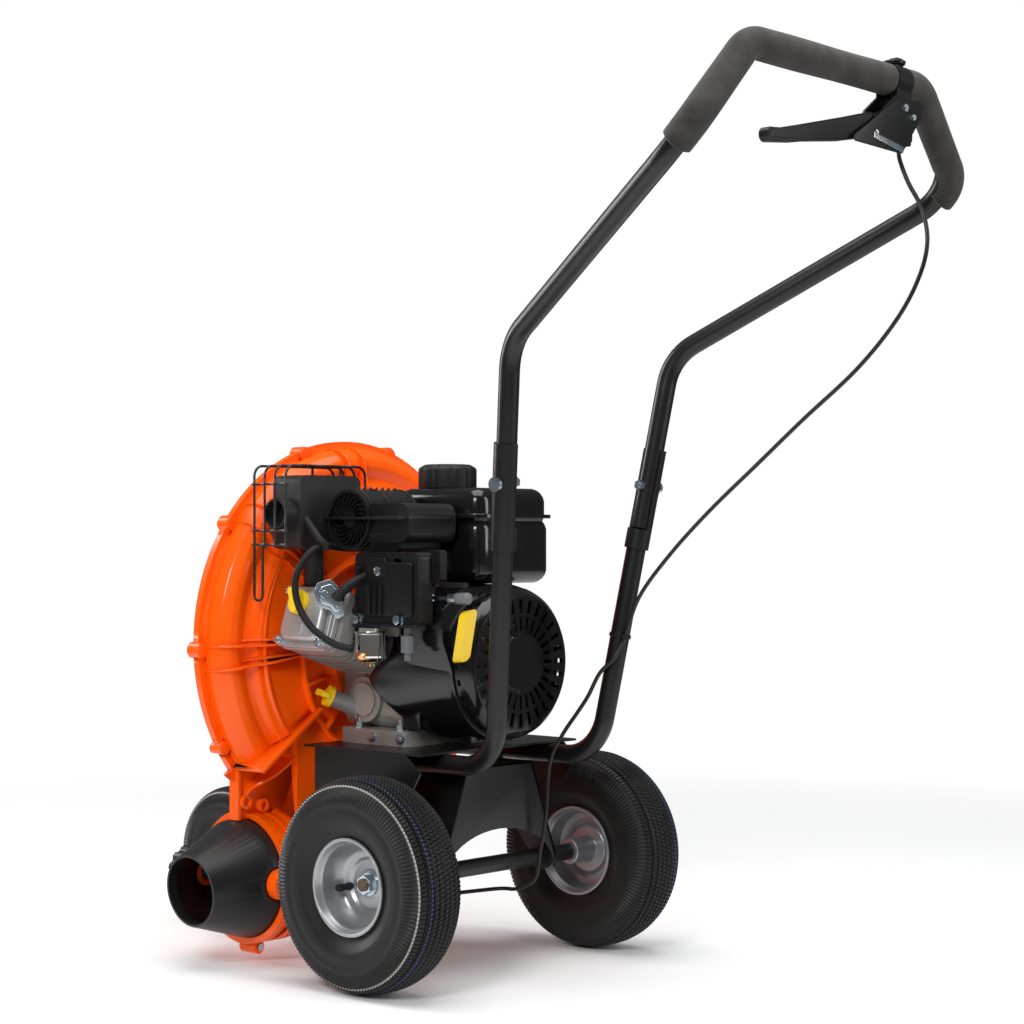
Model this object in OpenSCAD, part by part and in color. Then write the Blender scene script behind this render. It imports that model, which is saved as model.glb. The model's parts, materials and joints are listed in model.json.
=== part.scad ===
// Walk-behind leaf blower: engine-driven fan in a scroll housing on three wheels.
// +X is the machine's left, +Y points back to the operator, +Z is up, in millimetres.
// Inside the modules X = 0 is the middle plane and Y = 0 the rear axle;
// at_home() moves everything so that the origin is the middle of the footprint.

/* [Wheels] */
// Diameter of the rear tires
rear_tire_d = 268; // [250:1:280]
// Width of the rear tires
rear_tire_w = 86; // [76:1:90]
// Diameter of the rear rim flange
rear_rim_d = 122; // [114:1:130]
// Distance between the middles of the rear wheels
wheel_track = 428; // [420:1:460]
// Diameter of the front tire
front_tire_d = 200; // [190:1:206]
// Width of the front tire
front_tire_w = 60; // [52:1:64]
// Diameter of the front rim flange
front_rim_d = 92; // [86:1:98]
// Distance from the rear axle to the front axle
wheelbase = 490; // [484:1:510]
// Diameter of the axles
axle_d = 15.8; // [14:0.1:17]
// Length of a rear wheel's hub
hub_length = 44; // [40:1:50]
// How far the middle of a rear hub sits inwards of its wheel's middle
hub_inset = 26; // [22:1:30]

/* [Handle] */
// Outside diameter of the handle tube
tube_od = 25.4; // [24:0.1:27]
// Wall thickness of the handle tube
tube_wall = 1.6; // [1.2:0.1:2.4]
// Distance between the low tubes under the base
low_spacing = 198; // [192:1:204]
// Distance between the legs at the first bend
mid_spacing = 312; // [300:1:320]
// Height of the first bend
mid_height = 795; // [770:1:810]
// Distance between the legs at the widest place
wide_spacing = 546; // [520:1:560]
// Height of the widest place
wide_height = 988; // [975:1:1000]
// Distance between the upper corners
top_spacing = 342; // [330:1:360]
// Height of the crossbar
top_height = 1098; // [1085:1:1110]
// Outside diameter of the foam grips
foam_od = 37; // [34:0.5:40]

/* [Fan housing] */
// Height of the crankshaft above the ground
crank_height = 400; // [396:1:404]
// Radius of the scroll on its left side
scroll_left_r = 266; // [262:1:270]
// Radius of the scroll over its top
scroll_top_r = 245; // [240:1:250]
// Radius of the scroll under its right side
scroll_low_r = 386; // [382:1:390]
// Wall thickness of the moulded halves
shell_wall = 4; // [3:0.25:5]
// Width of the lip that joins the halves
lip_width = 10; // [8:0.5:12]
// Thickness of the lip on each half
lip_thickness = 5; // [4:0.25:6]
// Depth of the rear half
rear_depth = 52; // [50:1:54]
// Depth of the front half
front_depth = 73; // [70:1:76]
// Diameter of the fan wheel
fan_d = 356; // [340:1:358]
// Number of fan blades
fan_blades = 16; // [10:1:20]
// Diameter of the air inlet
inlet_d = 190; // [170:1:196]

/* [Nozzle] */
// Height of the nozzle pivot
outlet_height = 112; // [110:1:114]
// Outside diameter of the nozzle's round skirt
skirt_d = 157; // [152:1:158]
// Outside diameter of the nozzle's mouth
mouth_d = 94; // [86:1:104]
// Length of the nozzle from its pivot to its mouth
nozzle_length = 86; // [80:1:100]
// Wall thickness of the nozzle
nozzle_wall = 3; // [2.5:0.25:4]
// Droop of the nozzle at rest
nozzle_droop = 5; // [0:1:8]

/* [Engine] */
// Diameter of the crankshaft
crankshaft_d = 19; // [18:0.5:22]
// Diameter of the recoil starter cover
recoil_d = 196; // [186:1:200]
// Tilt of the cylinder above the horizontal
cylinder_tilt = 18; // [16:1:20]
// Number of cooling fins
fin_count = 8; // [6:1:10]
// Width of the fuel tank
tank_width = 145; // [135:1:150]
// Diameter of the fuel cap
fuel_cap_d = 78; // [70:1:84]
// Diameter of the air cleaner drum
drum_d = 78; // [74:1:80]
// Number of swirl vanes in the air cleaner's end
vane_count = 20; // [12:1:24]
// Diameter of the exhaust pipe
exhaust_d = 40; // [36:1:42]

/* [Hidden] */
$fn = 64;

// Clearances: a resting face, a sliding fit, a running fit and a loose moving part
rest_gap = 0.3;
fit_gap = 0.1;
run_gap = 0.05;
free_gap = 1;

// ---------- places that several pieces share ----------
tube_r = tube_od / 2;
rear_r = rear_tire_d / 2;
front_r = front_tire_d / 2;
axle_r = axle_d / 2;
half_track = wheel_track / 2;
sheet = 3;
base_top = 291;
base_bottom = base_top - sheet;
low_tube_z = base_bottom - tube_r;
base_half_width = 150;
skirt_bottom = 232;
split_y = -262;
rear_face_y = split_y + rear_depth;
front_face_y = split_y - front_depth;
engine_face_y = -185;
shroud_front_y = -38;
shroud_back_y = 36;

// The scroll is three arcs that meet with a common tangent
scroll_x = -2;
scroll_z = 417;
scroll_start = -38;
// Middle, radius, angle where the arc starts and how far it turns
scroll_arcs = [
    [scroll_x, scroll_z, scroll_left_r, 90, scroll_start - 90],
    [scroll_x, scroll_z + scroll_left_r - scroll_top_r, scroll_top_r, 90, 90],
    [scroll_x - scroll_top_r + scroll_low_r, scroll_z + scroll_left_r - scroll_top_r, scroll_low_r, 180, 90]
];
cutoff_x = scroll_x - scroll_top_r + scroll_low_r;
fan_r = fan_d / 2;
pivot = [192, split_y, outlet_height];
skirt_r = skirt_d / 2;
collar_r = skirt_r + free_gap + 8;

// Handle centre line: low corner, first bend, widest place, upper corner
low_corner = [low_spacing / 2, 108, low_tube_z];
mid_bend = [mid_spacing / 2, 185, mid_height];
wide_bend = [wide_spacing / 2, 537, wide_height];
top_corner = [top_spacing / 2, 544, top_height];
low_bend_r = 60;
mid_bend_r = 70;
wide_bend_r = 65;
top_bend_r = 42;
leg_way = unit(mid_bend - low_corner);
joint_centre = low_corner + leg_way * 358;
low_tube_end = joint_centre - leg_way * 56;
upper_tube_end = low_tube_end + leg_way * 2;
lever_x = -118;

// Footprint, for the origin
left_edge = pivot.x + nozzle_length * cos(nozzle_droop) + mouth_d / 2 * sin(nozzle_droop);
back_turn = unit(mid_bend - wide_bend);
ahead_turn = unit(top_corner - wide_bend);
turn_axis = unit(cross(back_turn, ahead_turn));
turn_centre = wide_bend + unit(back_turn + ahead_turn) * wide_bend_r / cos(90 - acos(back_turn * ahead_turn) / 2);
grip_edge = turn_centre.x + wide_bend_r * norm([turn_axis.y, turn_axis.z]) + foam_od / 2;
right_edge = -max(grip_edge, half_track + rear_tire_w / 2);
front_edge = -wheelbase - front_r;
clamp_r = tube_r + 6;
back_edge = top_corner.y + max(foam_od / 2, clamp_r);
home = [-(left_edge + right_edge) / 2, -(front_edge + back_edge) / 2, 0];

// ---------- helpers ----------
function unit(v) = v / norm(v);
function flip(p) = [-p.x, p.y, p.z];
function arc(c, r, a0, a1, n) = [for (i = [0:n]) let (a = a0 + (a1 - a0) * i / n) c + r * [cos(a), sin(a)]];
function round_rect(w, h, r) = [
    each arc([w / 2 - r, h / 2 - r], r, 0, 90, 5),
    each arc([r - w / 2, h / 2 - r], r, 90, 180, 5),
    each arc([r - w / 2, r - h / 2], r, 180, 270, 5),
    each arc([w / 2 - r, r - h / 2], r, 270, 360, 5)
];

module at_home() translate(home) children();

module mirrored() mirror([1, 0, 0]) children();

module placed(origin, ex, ez) {
    ey = cross(ez, ex);
    multmatrix([
        [ex.x, ey.x, ez.x, origin.x],
        [ex.y, ey.y, ez.y, origin.y],
        [ex.z, ey.z, ez.z, origin.z],
        [0, 0, 0, 1]
    ]) children();
}

// Turns a solid drawn along +Z so that it runs along +X, +Y or -Y
module along_x() rotate([0, 90, 0]) children();
module along_y() rotate([-90, 0, 0]) children();
module along_minus_y() rotate([90, 0, 0]) children();

// Straight bar or tube from p to q
module rod_between(p, q, r, r_in = 0) {
    ez = unit(q - p);
    side = abs(ez.x) < 0.9 ? [1, 0, 0] : [0, 1, 0];
    placed(p, unit(cross(side, ez)), ez) difference() {
        cylinder(h = norm(q - p), r = r);
        if (r_in > 0) translate([0, 0, -1]) cylinder(h = norm(q - p) + 2, r = r_in);
    }
}

// Bar or tube that follows points, with a bend radius at each inner point.
// A hair of room between straight and bent lengths keeps each an exact solid.
hair = 0.01;
module bent_tube(points, bends, r, r_in = 0) {
    n = len(points);
    back = [for (i = [0:n - 1]) i == 0 ? [0, 0, 0] : unit(points[i - 1] - points[i])];
    ahead = [for (i = [0:n - 1]) i == n - 1 ? [0, 0, 0] : unit(points[i + 1] - points[i])];
    turn = [for (i = [0:n - 1]) i == 0 || i == n - 1 ? 0 : 180 - acos(back[i] * ahead[i])];
    cut = [for (i = [0:n - 1]) i == 0 || i == n - 1 ? 0 : bends[i - 1] * tan(turn[i] / 2)];
    for (i = [0:n - 2])
        rod_between(points[i] + ahead[i] * (cut[i] + hair), points[i + 1] + back[i + 1] * (cut[i + 1] + hair), r, r_in);
    for (i = [1:n - 2]) {
        centre = points[i] + unit(back[i] + ahead[i]) * bends[i - 1] / cos(turn[i] / 2);
        ex = unit(points[i] + back[i] * cut[i] - centre);
        far = unit(points[i] + ahead[i] * cut[i] - centre);
        placed(centre, ex, unit(cross(ex, far)))
            rotate_extrude(angle = turn[i]) translate([bends[i - 1], 0]) difference() {
                circle(r = r);
                if (r_in > 0) circle(r = r_in);
            }
    }
}

// Box with rounded edges along one axis: x, y or z of size is that of the finished box
module slab_y(size, r) translate([0, size.y / 2, 0]) along_minus_y()
    linear_extrude(size.y) polygon(round_rect(size.x, size.z, r));
module slab_z(size, r) translate([0, 0, -size.z / 2])
    linear_extrude(size.z) polygon(round_rect(size.x, size.y, r));
module slab_x(size, r) translate([-size.x / 2, 0, 0]) along_x()
    linear_extrude(size.x) polygon(round_rect(size.z, size.y, r));

// Box with all its edges rounded
module soft_box(size, r) hull()
    for (x = [-1, 1], y = [-1, 1], z = [-1, 1])
        translate([x * (size.x / 2 - r), y * (size.y / 2 - r), z * (size.z / 2 - r)])
            sphere(r = r, $fn = 20);

module hex_head(d, h) cylinder(h = h, d = d, $fn = 6);

// ---------- wheels ----------
// Half-round tire section with its two beads: radius across, width along
bead_share = 0.34;
function tire_section(r_in, r_out, w) = [
    [r_in, -bead_share * w],
    for (i = [0:28])
        let (a = -104 + 208 * i / 28, s = sin(a), c = cos(a))
        [
            (r_in + r_out) / 2 + (r_out - r_in) / 2 * sign(c) * pow(abs(c), 0.62),
            w / 2 * sign(s) * pow(abs(s), 0.72)
        ],
    [r_in, bead_share * w]
];

module tire(d, w, rim_d, grooves) {
    seat_r = rim_d / 2 - 5;
    difference() {
        along_x() rotate_extrude() polygon(tire_section(seat_r, d / 2, w));
        along_x() translate([0, 0, -w]) cylinder(h = 2 * w, r = seat_r + rest_gap);
        for (x = grooves) along_x() rotate_extrude() translate([d / 2 - 3.5, x * w - 1.5]) square([6, 3]);
    }
}

// Rim section: flanges, drum, dished disc and hub, from outside in
module rim(flange_d, half_width, hub_r, hub_len, hub_at, bore_r, dish) {
    fr = flange_d / 2;
    seat_r = fr - 5;
    along_x() rotate_extrude() difference() {
        union() {
            for (s = [-1, 1]) polygon([
                [seat_r - 3, s * (half_width - 8)], [seat_r, s * (half_width - 8)],
                [seat_r, s * (half_width - 3)], [fr - 1, s * (half_width - 2)],
                [fr, s * half_width], [fr - 3, s * half_width], [seat_r - 3, s * (half_width - 2)]
            ]);
            translate([seat_r - 3, 7 - half_width]) square([3, 2 * half_width - 14]);
            polygon([
                [seat_r - 2, -6], [seat_r - 9, -4], [hub_r + 8, dish], [hub_r - 1, dish + 2],
                [hub_r - 1, dish - 2], [hub_r + 6, dish - 4], [seat_r - 9, -8], [seat_r - 2, -10]
            ]);
            translate([bore_r, hub_at - hub_len / 2]) square([hub_r - bore_r, hub_len]);
        }
    }
}

rear_bore_r = axle_r + run_gap;
rear_rim_half = 36;
rear_hub_r = 17;
valve_r = 4;

// Places something where the tire's valve comes through the rim
module valve_place(x) rotate([-80, 0, 0]) translate([x, 0, -rear_rim_d / 4 - 4]) along_x() children();

module rear_rim() difference() {
    rim(rear_rim_d, rear_rim_half, rear_hub_r, hub_length, -hub_inset, rear_bore_r, -8);
    valve_place(-20) cylinder(h = 40, r = valve_r + run_gap);
}
module rear_tire() {
    tire(rear_tire_d, rear_tire_w, rear_rim_d, [-0.3, -0.15, 0, 0.15, 0.3]);
    valve_place(-14) cylinder(h = 30, r = valve_r);
}

module left_wheel_place() translate([half_track, 0, rear_r]) children();
module tire_left() color("#2b2b2d") at_home() left_wheel_place() rear_tire();
module rim_left() color("silver") at_home() left_wheel_place() rear_rim();
module tire_right() color("#2b2b2d") at_home() mirrored() left_wheel_place() rear_tire();
module rim_right() color("silver") at_home() mirrored() left_wheel_place() rear_rim();

front_hub_len = front_tire_w + 8;
module front_wheel_place() translate([0, -wheelbase, front_r]) children();
module tire_front() color("#2b2b2d") at_home() front_wheel_place()
    tire(front_tire_d, front_tire_w, front_rim_d, [-0.28, 0, 0.28]);
module rim_front() color("silver") at_home() front_wheel_place()
    rim(front_rim_d, 25, 14, front_hub_len, 0, axle_r + run_gap, 2);

// ---------- frame ----------
axle_tube_half = 118;
nut_h = 9;
washer_h = 2;
hub_face = half_track - hub_inset + hub_length / 2;

module axle() color("#202022") at_home() {
    half = hub_face + washer_h + nut_h + 3;
    translate([-half, 0, rear_r]) along_x() cylinder(h = 2 * half, r = axle_r);
}

// A washer and a nut at each end of the axle
module axle_nuts() color("#9a9a98") at_home() for (s = [0, 1]) mirror([s, 0, 0])
    translate([hub_face + rest_gap, 0, rear_r]) along_x() difference() {
        union() {
            cylinder(h = washer_h, r = axle_r + 6);
            translate([0, 0, washer_h]) hex_head(2 * axle_r + 9, nut_h);
        }
        translate([0, 0, -1]) cylinder(h = 20, r = axle_r);
    }

bracket_top_half = 62;
bracket_low_half = 112;
bracket_y = 26;
flange_run = [bracket_top_half - bracket_low_half, 0, low_tube_z - rear_r - 12];

// Folded sheet below the base: a web with a window and two flanges that carry the axle tube
module axle_bracket() color("#1c1c1e") at_home() difference() {
    union() {
        translate([0, bracket_y, 0]) along_minus_y() linear_extrude(sheet) difference() {
            polygon([
                [-bracket_top_half, low_tube_z - 8], [bracket_top_half, low_tube_z - 8],
                [bracket_low_half, rear_r + 4], [bracket_low_half - 14, rear_r - 22],
                [14 - bracket_low_half, rear_r - 22], [-bracket_low_half, rear_r + 4]
            ]);
            polygon([[-52, rear_r + 20], [0, low_tube_z - 34], [52, rear_r + 20]]);
        }
        for (s = [0, 1]) mirror([s, 0, 0]) {
            placed([bracket_low_half, bracket_y, rear_r + 4], [0, -1, 0], unit(cross([0, -1, 0], flange_run)))
                linear_extrude(sheet) polygon([[0, 0], [44, 0], [96, norm(flange_run)], [0, norm(flange_run)]]);
            translate([bracket_low_half - 6, 0, rear_r]) along_x() cylinder(h = 10, r = axle_r + 9);
        }
        translate([-bracket_top_half, bracket_y - 96, low_tube_z - 8 - sheet])
            cube([2 * bracket_top_half, 96, sheet]);
        translate([-axle_tube_half, 0, rear_r]) along_x() cylinder(h = 2 * axle_tube_half, r = axle_r + 3);
    }
    translate([-200, 0, rear_r]) along_x() cylinder(h = 400, r = axle_r + run_gap);
}

stud_x = 81;
stud_y = [-150, -74.5];
stud_r = 4;

// Engine base: one folded sheet with skirts at both sides
module base_plate() color("#1c1c1e") at_home() difference() {
    union() {
        translate([-base_half_width, engine_face_y + 1, base_bottom])
            cube([2 * base_half_width, 212, sheet]);
        for (s = [-1, 1]) translate([s * (base_half_width - sheet / 2), 0, 0])
            rotate([90, 0, 90]) translate([0, 0, -sheet / 2]) linear_extrude(sheet) polygon([
                [-164, base_top], [0, base_top], [28, low_tube_z - 8], [6, skirt_bottom], [-164, skirt_bottom]
            ]);
        for (s = [-1, 1]) translate([s * low_spacing / 2, -70, low_tube_z - tube_r - sheet / 2])
            slab_z([58, 24, sheet], 4);
    }
    for (x = [-stud_x, stud_x], y = stud_y)
        translate([x, y, base_bottom - 1]) cylinder(h = 10, r = stud_r + rest_gap);
    for (s = [-1, 1]) translate([s * 60 - 9, -130, base_bottom - 1]) cube([18, 60, 5]);
}

fork_half = front_hub_len / 2 + rest_gap;
fork_plate_top = 236;

// Fork that carries the front wheel on the front face of the housing
module front_fork() color("#1c1c1e") at_home() difference() {
    union() {
        translate([0, front_face_y - rest_gap - sheet / 2, (fork_plate_top + 76) / 2])
            slab_y([130, sheet, fork_plate_top - 76], 12);
        for (s = [-1, 1]) translate([s * (fork_half + sheet / 2), 0, 0])
            rotate([90, 0, 90]) translate([0, 0, -sheet / 2]) linear_extrude(sheet) union() {
                polygon([
                    [front_face_y - rest_gap, 84], [front_face_y - rest_gap, 222],
                    [front_face_y - 34, 190], [-wheelbase + 4, front_r + 18],
                    [-wheelbase, front_r - 18]
                ]);
                translate([-wheelbase, front_r]) circle(r = 18);
            }
    }
    translate([-100, -wheelbase, front_r]) along_x() cylinder(h = 200, r = axle_r);
    for (x = [-48, 48], z = [100, 212]) translate([x, front_face_y - 12, z]) along_y() cylinder(h = 20, r = 3.3);
}

// Front axle bolt with its head and nut, and the four screws of the fork
module front_axle() color("#b8b8b4") at_home() {
    translate([-fork_half - sheet - 12, -wheelbase, front_r]) along_x()
        cylinder(h = 2 * (fork_half + sheet + 12), r = axle_r);
    for (s = [0, 1]) mirror([s, 0, 0]) translate([fork_half + sheet, -wheelbase, front_r]) along_x()
        difference() {
            hex_head(2 * axle_r + 9, nut_h);
            translate([0, 0, -1]) cylinder(h = 20, r = axle_r);
        }
    for (x = [-48, 48], z = [100, 212]) translate([x, front_face_y - rest_gap - sheet, z]) along_minus_y()
        hex_head(11, 5);
}

// ---------- handle ----------
low_front_y = -150;
saddle_r = tube_r + 3.2;
joint_bolt_r = 4;

module handle_joint_hole() placed(joint_centre, leg_way, unit(cross([0, 1, 0], leg_way)))
    translate([0, 0, -40]) cylinder(h = 80, r = joint_bolt_r + run_gap);

sleeve_below = 26;
sleeve_above = 105;
// Low tube with its flattened end, which wraps the outer half of the upper tube
module lower_handle() difference() {
    union() {
        bent_tube([[low_corner.x, low_front_y, low_tube_z], low_corner, low_tube_end], [low_bend_r],
                  tube_r, tube_r - tube_wall);
        placed(low_tube_end - leg_way * sleeve_below, unit([0, 1, 0] - leg_way * leg_way.y), leg_way) difference() {
            cylinder(h = sleeve_below + sleeve_above, r = saddle_r);
            translate([0, 0, -1]) cylinder(h = sleeve_below + 2, r = tube_r - 0.5);
            translate([0, 0, sleeve_below + hair]) cylinder(h = 200, r = tube_r + fit_gap);
            translate([-40, 3, sleeve_below]) cube([80, 40, 200]);
        }
    }
    handle_joint_hole();
}
module lower_handle_left() color("#18181a") at_home() lower_handle();
module lower_handle_right() color("#18181a") at_home() mirrored() lower_handle();

upper_half = [upper_tube_end, mid_bend, wide_bend, top_corner];
upper_bends = [mid_bend_r, wide_bend_r, top_bend_r];
upper_points = [each upper_half, for (i = [3:-1:0]) flip(upper_half[i])];
upper_radii = [each upper_bends, for (i = [2:-1:0]) upper_bends[i]];

module upper_handle() color("#18181a") at_home() difference() {
    bent_tube(upper_points, upper_radii, tube_r, tube_r - tube_wall);
    handle_joint_hole();
    mirrored() handle_joint_hole();
}

// A bolt with a round head outside and a nut inside, at each handle joint
module handle_bolts() color("#c4c8cc") at_home() for (s = [0, 1]) mirror([s, 0, 0])
    placed(joint_centre, leg_way, unit(cross([0, 1, 0], leg_way))) {
        translate([0, 0, -tube_r - 8]) cylinder(h = 2 * tube_r + 12, r = joint_bolt_r);
        translate([0, 0, saddle_r]) cylinder(h = 5, r = 9);
        translate([0, 0, -tube_r - 7]) hex_head(14, 7);
    }

foam_low = wide_bend - unit(wide_bend - mid_bend) * 74;
clamp_half = 15;
foam_left_end = lever_x + clamp_half + rest_gap;
foam_right_end = lever_x - clamp_half - rest_gap;

module foam_left() color("#3a3a3c") at_home()
    bent_tube([foam_low, wide_bend, top_corner, [foam_left_end, top_corner.y, top_corner.z]],
              [wide_bend_r, top_bend_r], foam_od / 2, tube_r);
module foam_right() color("#3a3a3c") at_home()
    bent_tube([[foam_right_end, top_corner.y, top_corner.z], flip(top_corner), flip(wide_bend), flip(foam_low)],
              [top_bend_r, wide_bend_r], foam_od / 2, tube_r);

// ---------- hand lever ----------
// Drawn round the crossbar's axis, with x towards the paddle's tip and y to the back
lever_pivot = [-10, 0, -34];
cheek_y = 13;
cheek_t = 3;
lever_pin_r = 3;
lever_half = cheek_y - cheek_t / 2 - 0.5;
module lever_place() translate([lever_x, top_corner.y, top_corner.z]) children();

// Clamp on the crossbar with two cheeks, the lever's pivot pin and the cable's stop
module lever_bracket() {
    color("#161618") at_home() lever_place() difference() {
        union() {
            translate([-clamp_half, 0, 0]) along_x() cylinder(h = 2 * clamp_half, r = clamp_r);
            for (s = [-1, 1]) translate([0, s * cheek_y + cheek_t / 2, 0]) along_minus_y()
                linear_extrude(cheek_t) polygon([
                    [-15, 4], [15, 4], [15, -19], [42, -38], [52, -52], [8, -60], [-4, -78], [-18, -70], [-20, -34], [-15, -19]
                ]);
            translate([-11, 0, -69]) slab_y([14, 2 * cheek_y, 14], 3);
            translate([-6, 0, tube_r + 9]) slab_y([16, 9, 12], 3);
        }
        translate([-40, 0, 0]) along_x() cylinder(h = 80, r = tube_r);
        translate([-12, 0, -90]) cylinder(h = 40, r = cable_r);
    }
    color("silver") at_home() lever_place() translate([lever_pivot.x, -cheek_y - 5, lever_pivot.z])
        along_y() cylinder(h = 2 * cheek_y + 10, r = lever_pin_r);
}

// Pressed paddle, channel shaped, with the bore for its pivot pin and a silver link
module lever() {
    color("#161618") at_home() lever_place() difference() {
        translate([0, lever_half, 0]) along_minus_y() linear_extrude(2 * lever_half) polygon([
            [-18, -30], [-6, -26], [40, -44], [80, -58], [150, -74], [210, -84], [250, -88],
            each arc([254, -96], 8, 75, -90, 6),
            [205, -98], [150, -88], [90, -72], [40, -58], [0, -50], [-18, -42]
        ]);
        translate([lever_pivot.x, -40, lever_pivot.z]) along_y() cylinder(h = 80, r = lever_pin_r + run_gap);
        translate([0, lever_half - 3, 0]) along_minus_y() linear_extrude(2 * lever_half - 6) polygon([
            [-30, -44], [40, -62], [96, -78], [150, -94], [200, -104], [200, -92], [150, -79],
            [90, -64], [40, -51], [-8, -41], [-30, -41]
        ]);
    }
    color("silver") at_home() lever_place() translate([34, 0, -49]) rotate([0, 22, 0]) slab_x([44, 4, 7], 1.9);
}

// ---------- control cable ----------
cable_r = 2.6;
cable_start = [lever_x - 12, top_corner.y, top_corner.z - 76.3];
// Route from the lever's stop down to the nozzle's horn
cable_route = [
    cable_start, [-130, 545, 1008], [-131, 556, 980], [-130, 576, 945], [-128, 584, 905],
    [-126, 572, 862], [-124, 542, 815], [-122, 490, 762], [-120, 415, 705], [-119, 345, 650],
    [-118, 275, 595], [-115, 215, 540], [-111, 168, 485], [-108, 145.5, 431], [-97, 137, 405],
    [-91, 118, 385], [-92, 98, 355], [-92, 82, 335], [-80, 62, 300], [-76, 45, 262],
    [-72, 42, 195], [-67, 36, 145], [-62, 32, 112], [-52, 8, 98], [-40, -20, 96], [40, -92, 86],
    [110, -148, 80], [150, -165, 82], [171.5, -166, 83]
];

// Closed tube with flat ends, swept along points
module swept_tube(route, r, sides) {
    n = len(route);
    way = [for (i = [0:n - 1]) unit(route[min(i + 1, n - 1)] - route[max(i - 1, 0)])];
    ring = [for (i = [0:n - 1])
        let (u = unit(cross(way[i], [0.2, 0.1, 1])), v = cross(way[i], u))
        for (k = [0:sides - 1]) route[i] + r * (u * cos(360 * k / sides) + v * sin(360 * k / sides))];
    walls = [for (i = [0:n - 2], k = [0:sides - 1])
        let (a = i * sides + k, b = i * sides + (k + 1) % sides)
        each [[a, b, b + sides], [a, b + sides, a + sides]]];
    polyhedron(ring, [[for (k = [0:sides - 1]) sides - 1 - k], each walls, [for (k = [0:sides - 1]) (n - 1) * sides + k]]);
}

// A smooth curve through the route's points
function between(a, b, c, d, t) = 0.5 * (
    2 * b + (c - a) * t + (2 * a - 5 * b + 4 * c - d) * t * t + (3 * b - a - 3 * c + d) * t * t * t
);
function smooth(p, steps) = let (n = len(p)) [
    for (i = [0:n - 2], k = [0:steps - 1])
        between(p[max(i - 1, 0)], p[i], p[i + 1], p[min(i + 2, n - 1)], k / steps),
    p[n - 1]
];

module control_cable() color("#141416") at_home() swept_tube(smooth(cable_route, 3), cable_r, 8);

tie_at = 0.525;
tie_turn = -29;
tie_loop_at = tube_r + cable_r + 1.4;
tie_centre = flip(low_corner + (low_tube_end - low_corner) * tie_at);
tie_way = unit(flip(leg_way));
tie_side = unit([0, 1, 0] - tie_way * tie_way.y);
// Strap round the right low tube with a smaller loop behind it that holds the cable
module cable_tie() color("#141416") at_home()
    placed(tie_centre, tie_side, tie_way) rotate(tie_turn) difference() {
        union() {
            cylinder(h = 5, r = tube_r + 1.6);
            translate([tie_loop_at, 0, 0]) cylinder(h = 5, r = cable_r + 2.6);
        }
        translate([0, 0, -1]) cylinder(h = 7, r = tube_r + run_gap);
        translate([tie_loop_at, 0, -1]) cylinder(h = 7, r = cable_r + 1);
    }

// ---------- fan housing ----------
// Draws a section (radius, depth) once for each arc of the scroll
module scroll(sections) for (i = [0:2]) {
    a = scroll_arcs[i];
    translate([a[0], split_y, a[1]]) along_minus_y() rotate([0, 0, a[3]])
        rotate_extrude(angle = a[4]) polygon(sections[i]);
}

// side is -1 towards the engine and 1 towards the front, as the section's second value counts forward
function rear_section(r, w) = [
    [0, 10], [r - w, 10], [r - w, -12], [r - 8 - w, -26 + w / 4], [r - 18 - w, -33 + w / 2],
    [r - 58, -42 + w], [r - 62, -rear_depth + w], [0, -rear_depth + w]
];
function rear_skin(r) = [
    [0, 0], [r + lip_width, 0], [r + lip_width, -lip_thickness], [r, -lip_thickness], [r, -12],
    [r - 8, -26], [r - 18, -33], [r - 58, -42], [r - 62, -rear_depth], [0, -rear_depth]
];
function front_section(r, w) = [
    [0, -10], [r - w, -10], [r - w, 38], [r - 10 - w, 56 - w / 4], [r - 26 - w, 66 - w / 2],
    [r - 60, front_depth - w], [0, front_depth - w]
];
function front_skin(r) = [
    [0, 0], [r + lip_width, 0], [r + lip_width, lip_thickness], [r, lip_thickness], [r, 38],
    [r - 10, 56], [r - 26, 66], [r - 60, front_depth], [0, front_depth]
];

duct_r = 68;
duct_start = 24;
collar_start = pivot.x - 54;
collar_end = pivot.x - 4;
fan_room_r = fan_r + 10;
face_step = 0.5;
bell_r = inlet_d / 2;
ear_r = 20;
ear_boss_r = 17;
pad_t = 5;
ear_floor = skirt_r - 5;
outlet_boss = [[166, 205], [190, 214], [214, 226]];

// Section of the discharge duct, from the scroll to the nozzle: x along, radius across
module duct_skin() along_x() rotate_extrude() polygon([
    [0, duct_start], [duct_r, duct_start], [duct_r, collar_start - 22], [collar_r, collar_start],
    [collar_r, collar_start + 8], [collar_r - 3, collar_start + 8], [collar_r - 3, collar_start + 14],
    [collar_r, collar_start + 14], [collar_r, collar_start + 24], [collar_r - 3, collar_start + 24],
    [collar_r - 3, collar_start + 32], [collar_r, collar_start + 32], [collar_r, collar_end], [0, collar_end]
]);
module duct_room() along_x() rotate_extrude() polygon([
    [0, duct_start + shell_wall], [duct_r - shell_wall, duct_start + shell_wall], [duct_r - shell_wall, collar_start - 21],
    [skirt_r + free_gap, collar_start + 2], [skirt_r + free_gap, collar_end + 1], [0, collar_end + 1]
]);

lip_angles = [-30, 2, 34, 66];
top_lip_angles = [104, 136, 168];

// Places something at each joint screw of the two halves
module at_screws() {
    for (a = lip_angles) translate([scroll_x, split_y, scroll_z]) rotate([0, -a, 0])
        translate([scroll_left_r + 6, 0, 0]) children();
    for (a = top_lip_angles) translate([scroll_x, split_y, scroll_arcs[1][1]]) rotate([0, -a, 0])
        translate([scroll_top_r + 6, 0, 0]) children();
    for (p = outlet_boss) translate([p.x, split_y, p.y]) children();
    translate([pivot.x - 17, split_y, pivot.z - collar_r - 4]) children();
}

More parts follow.
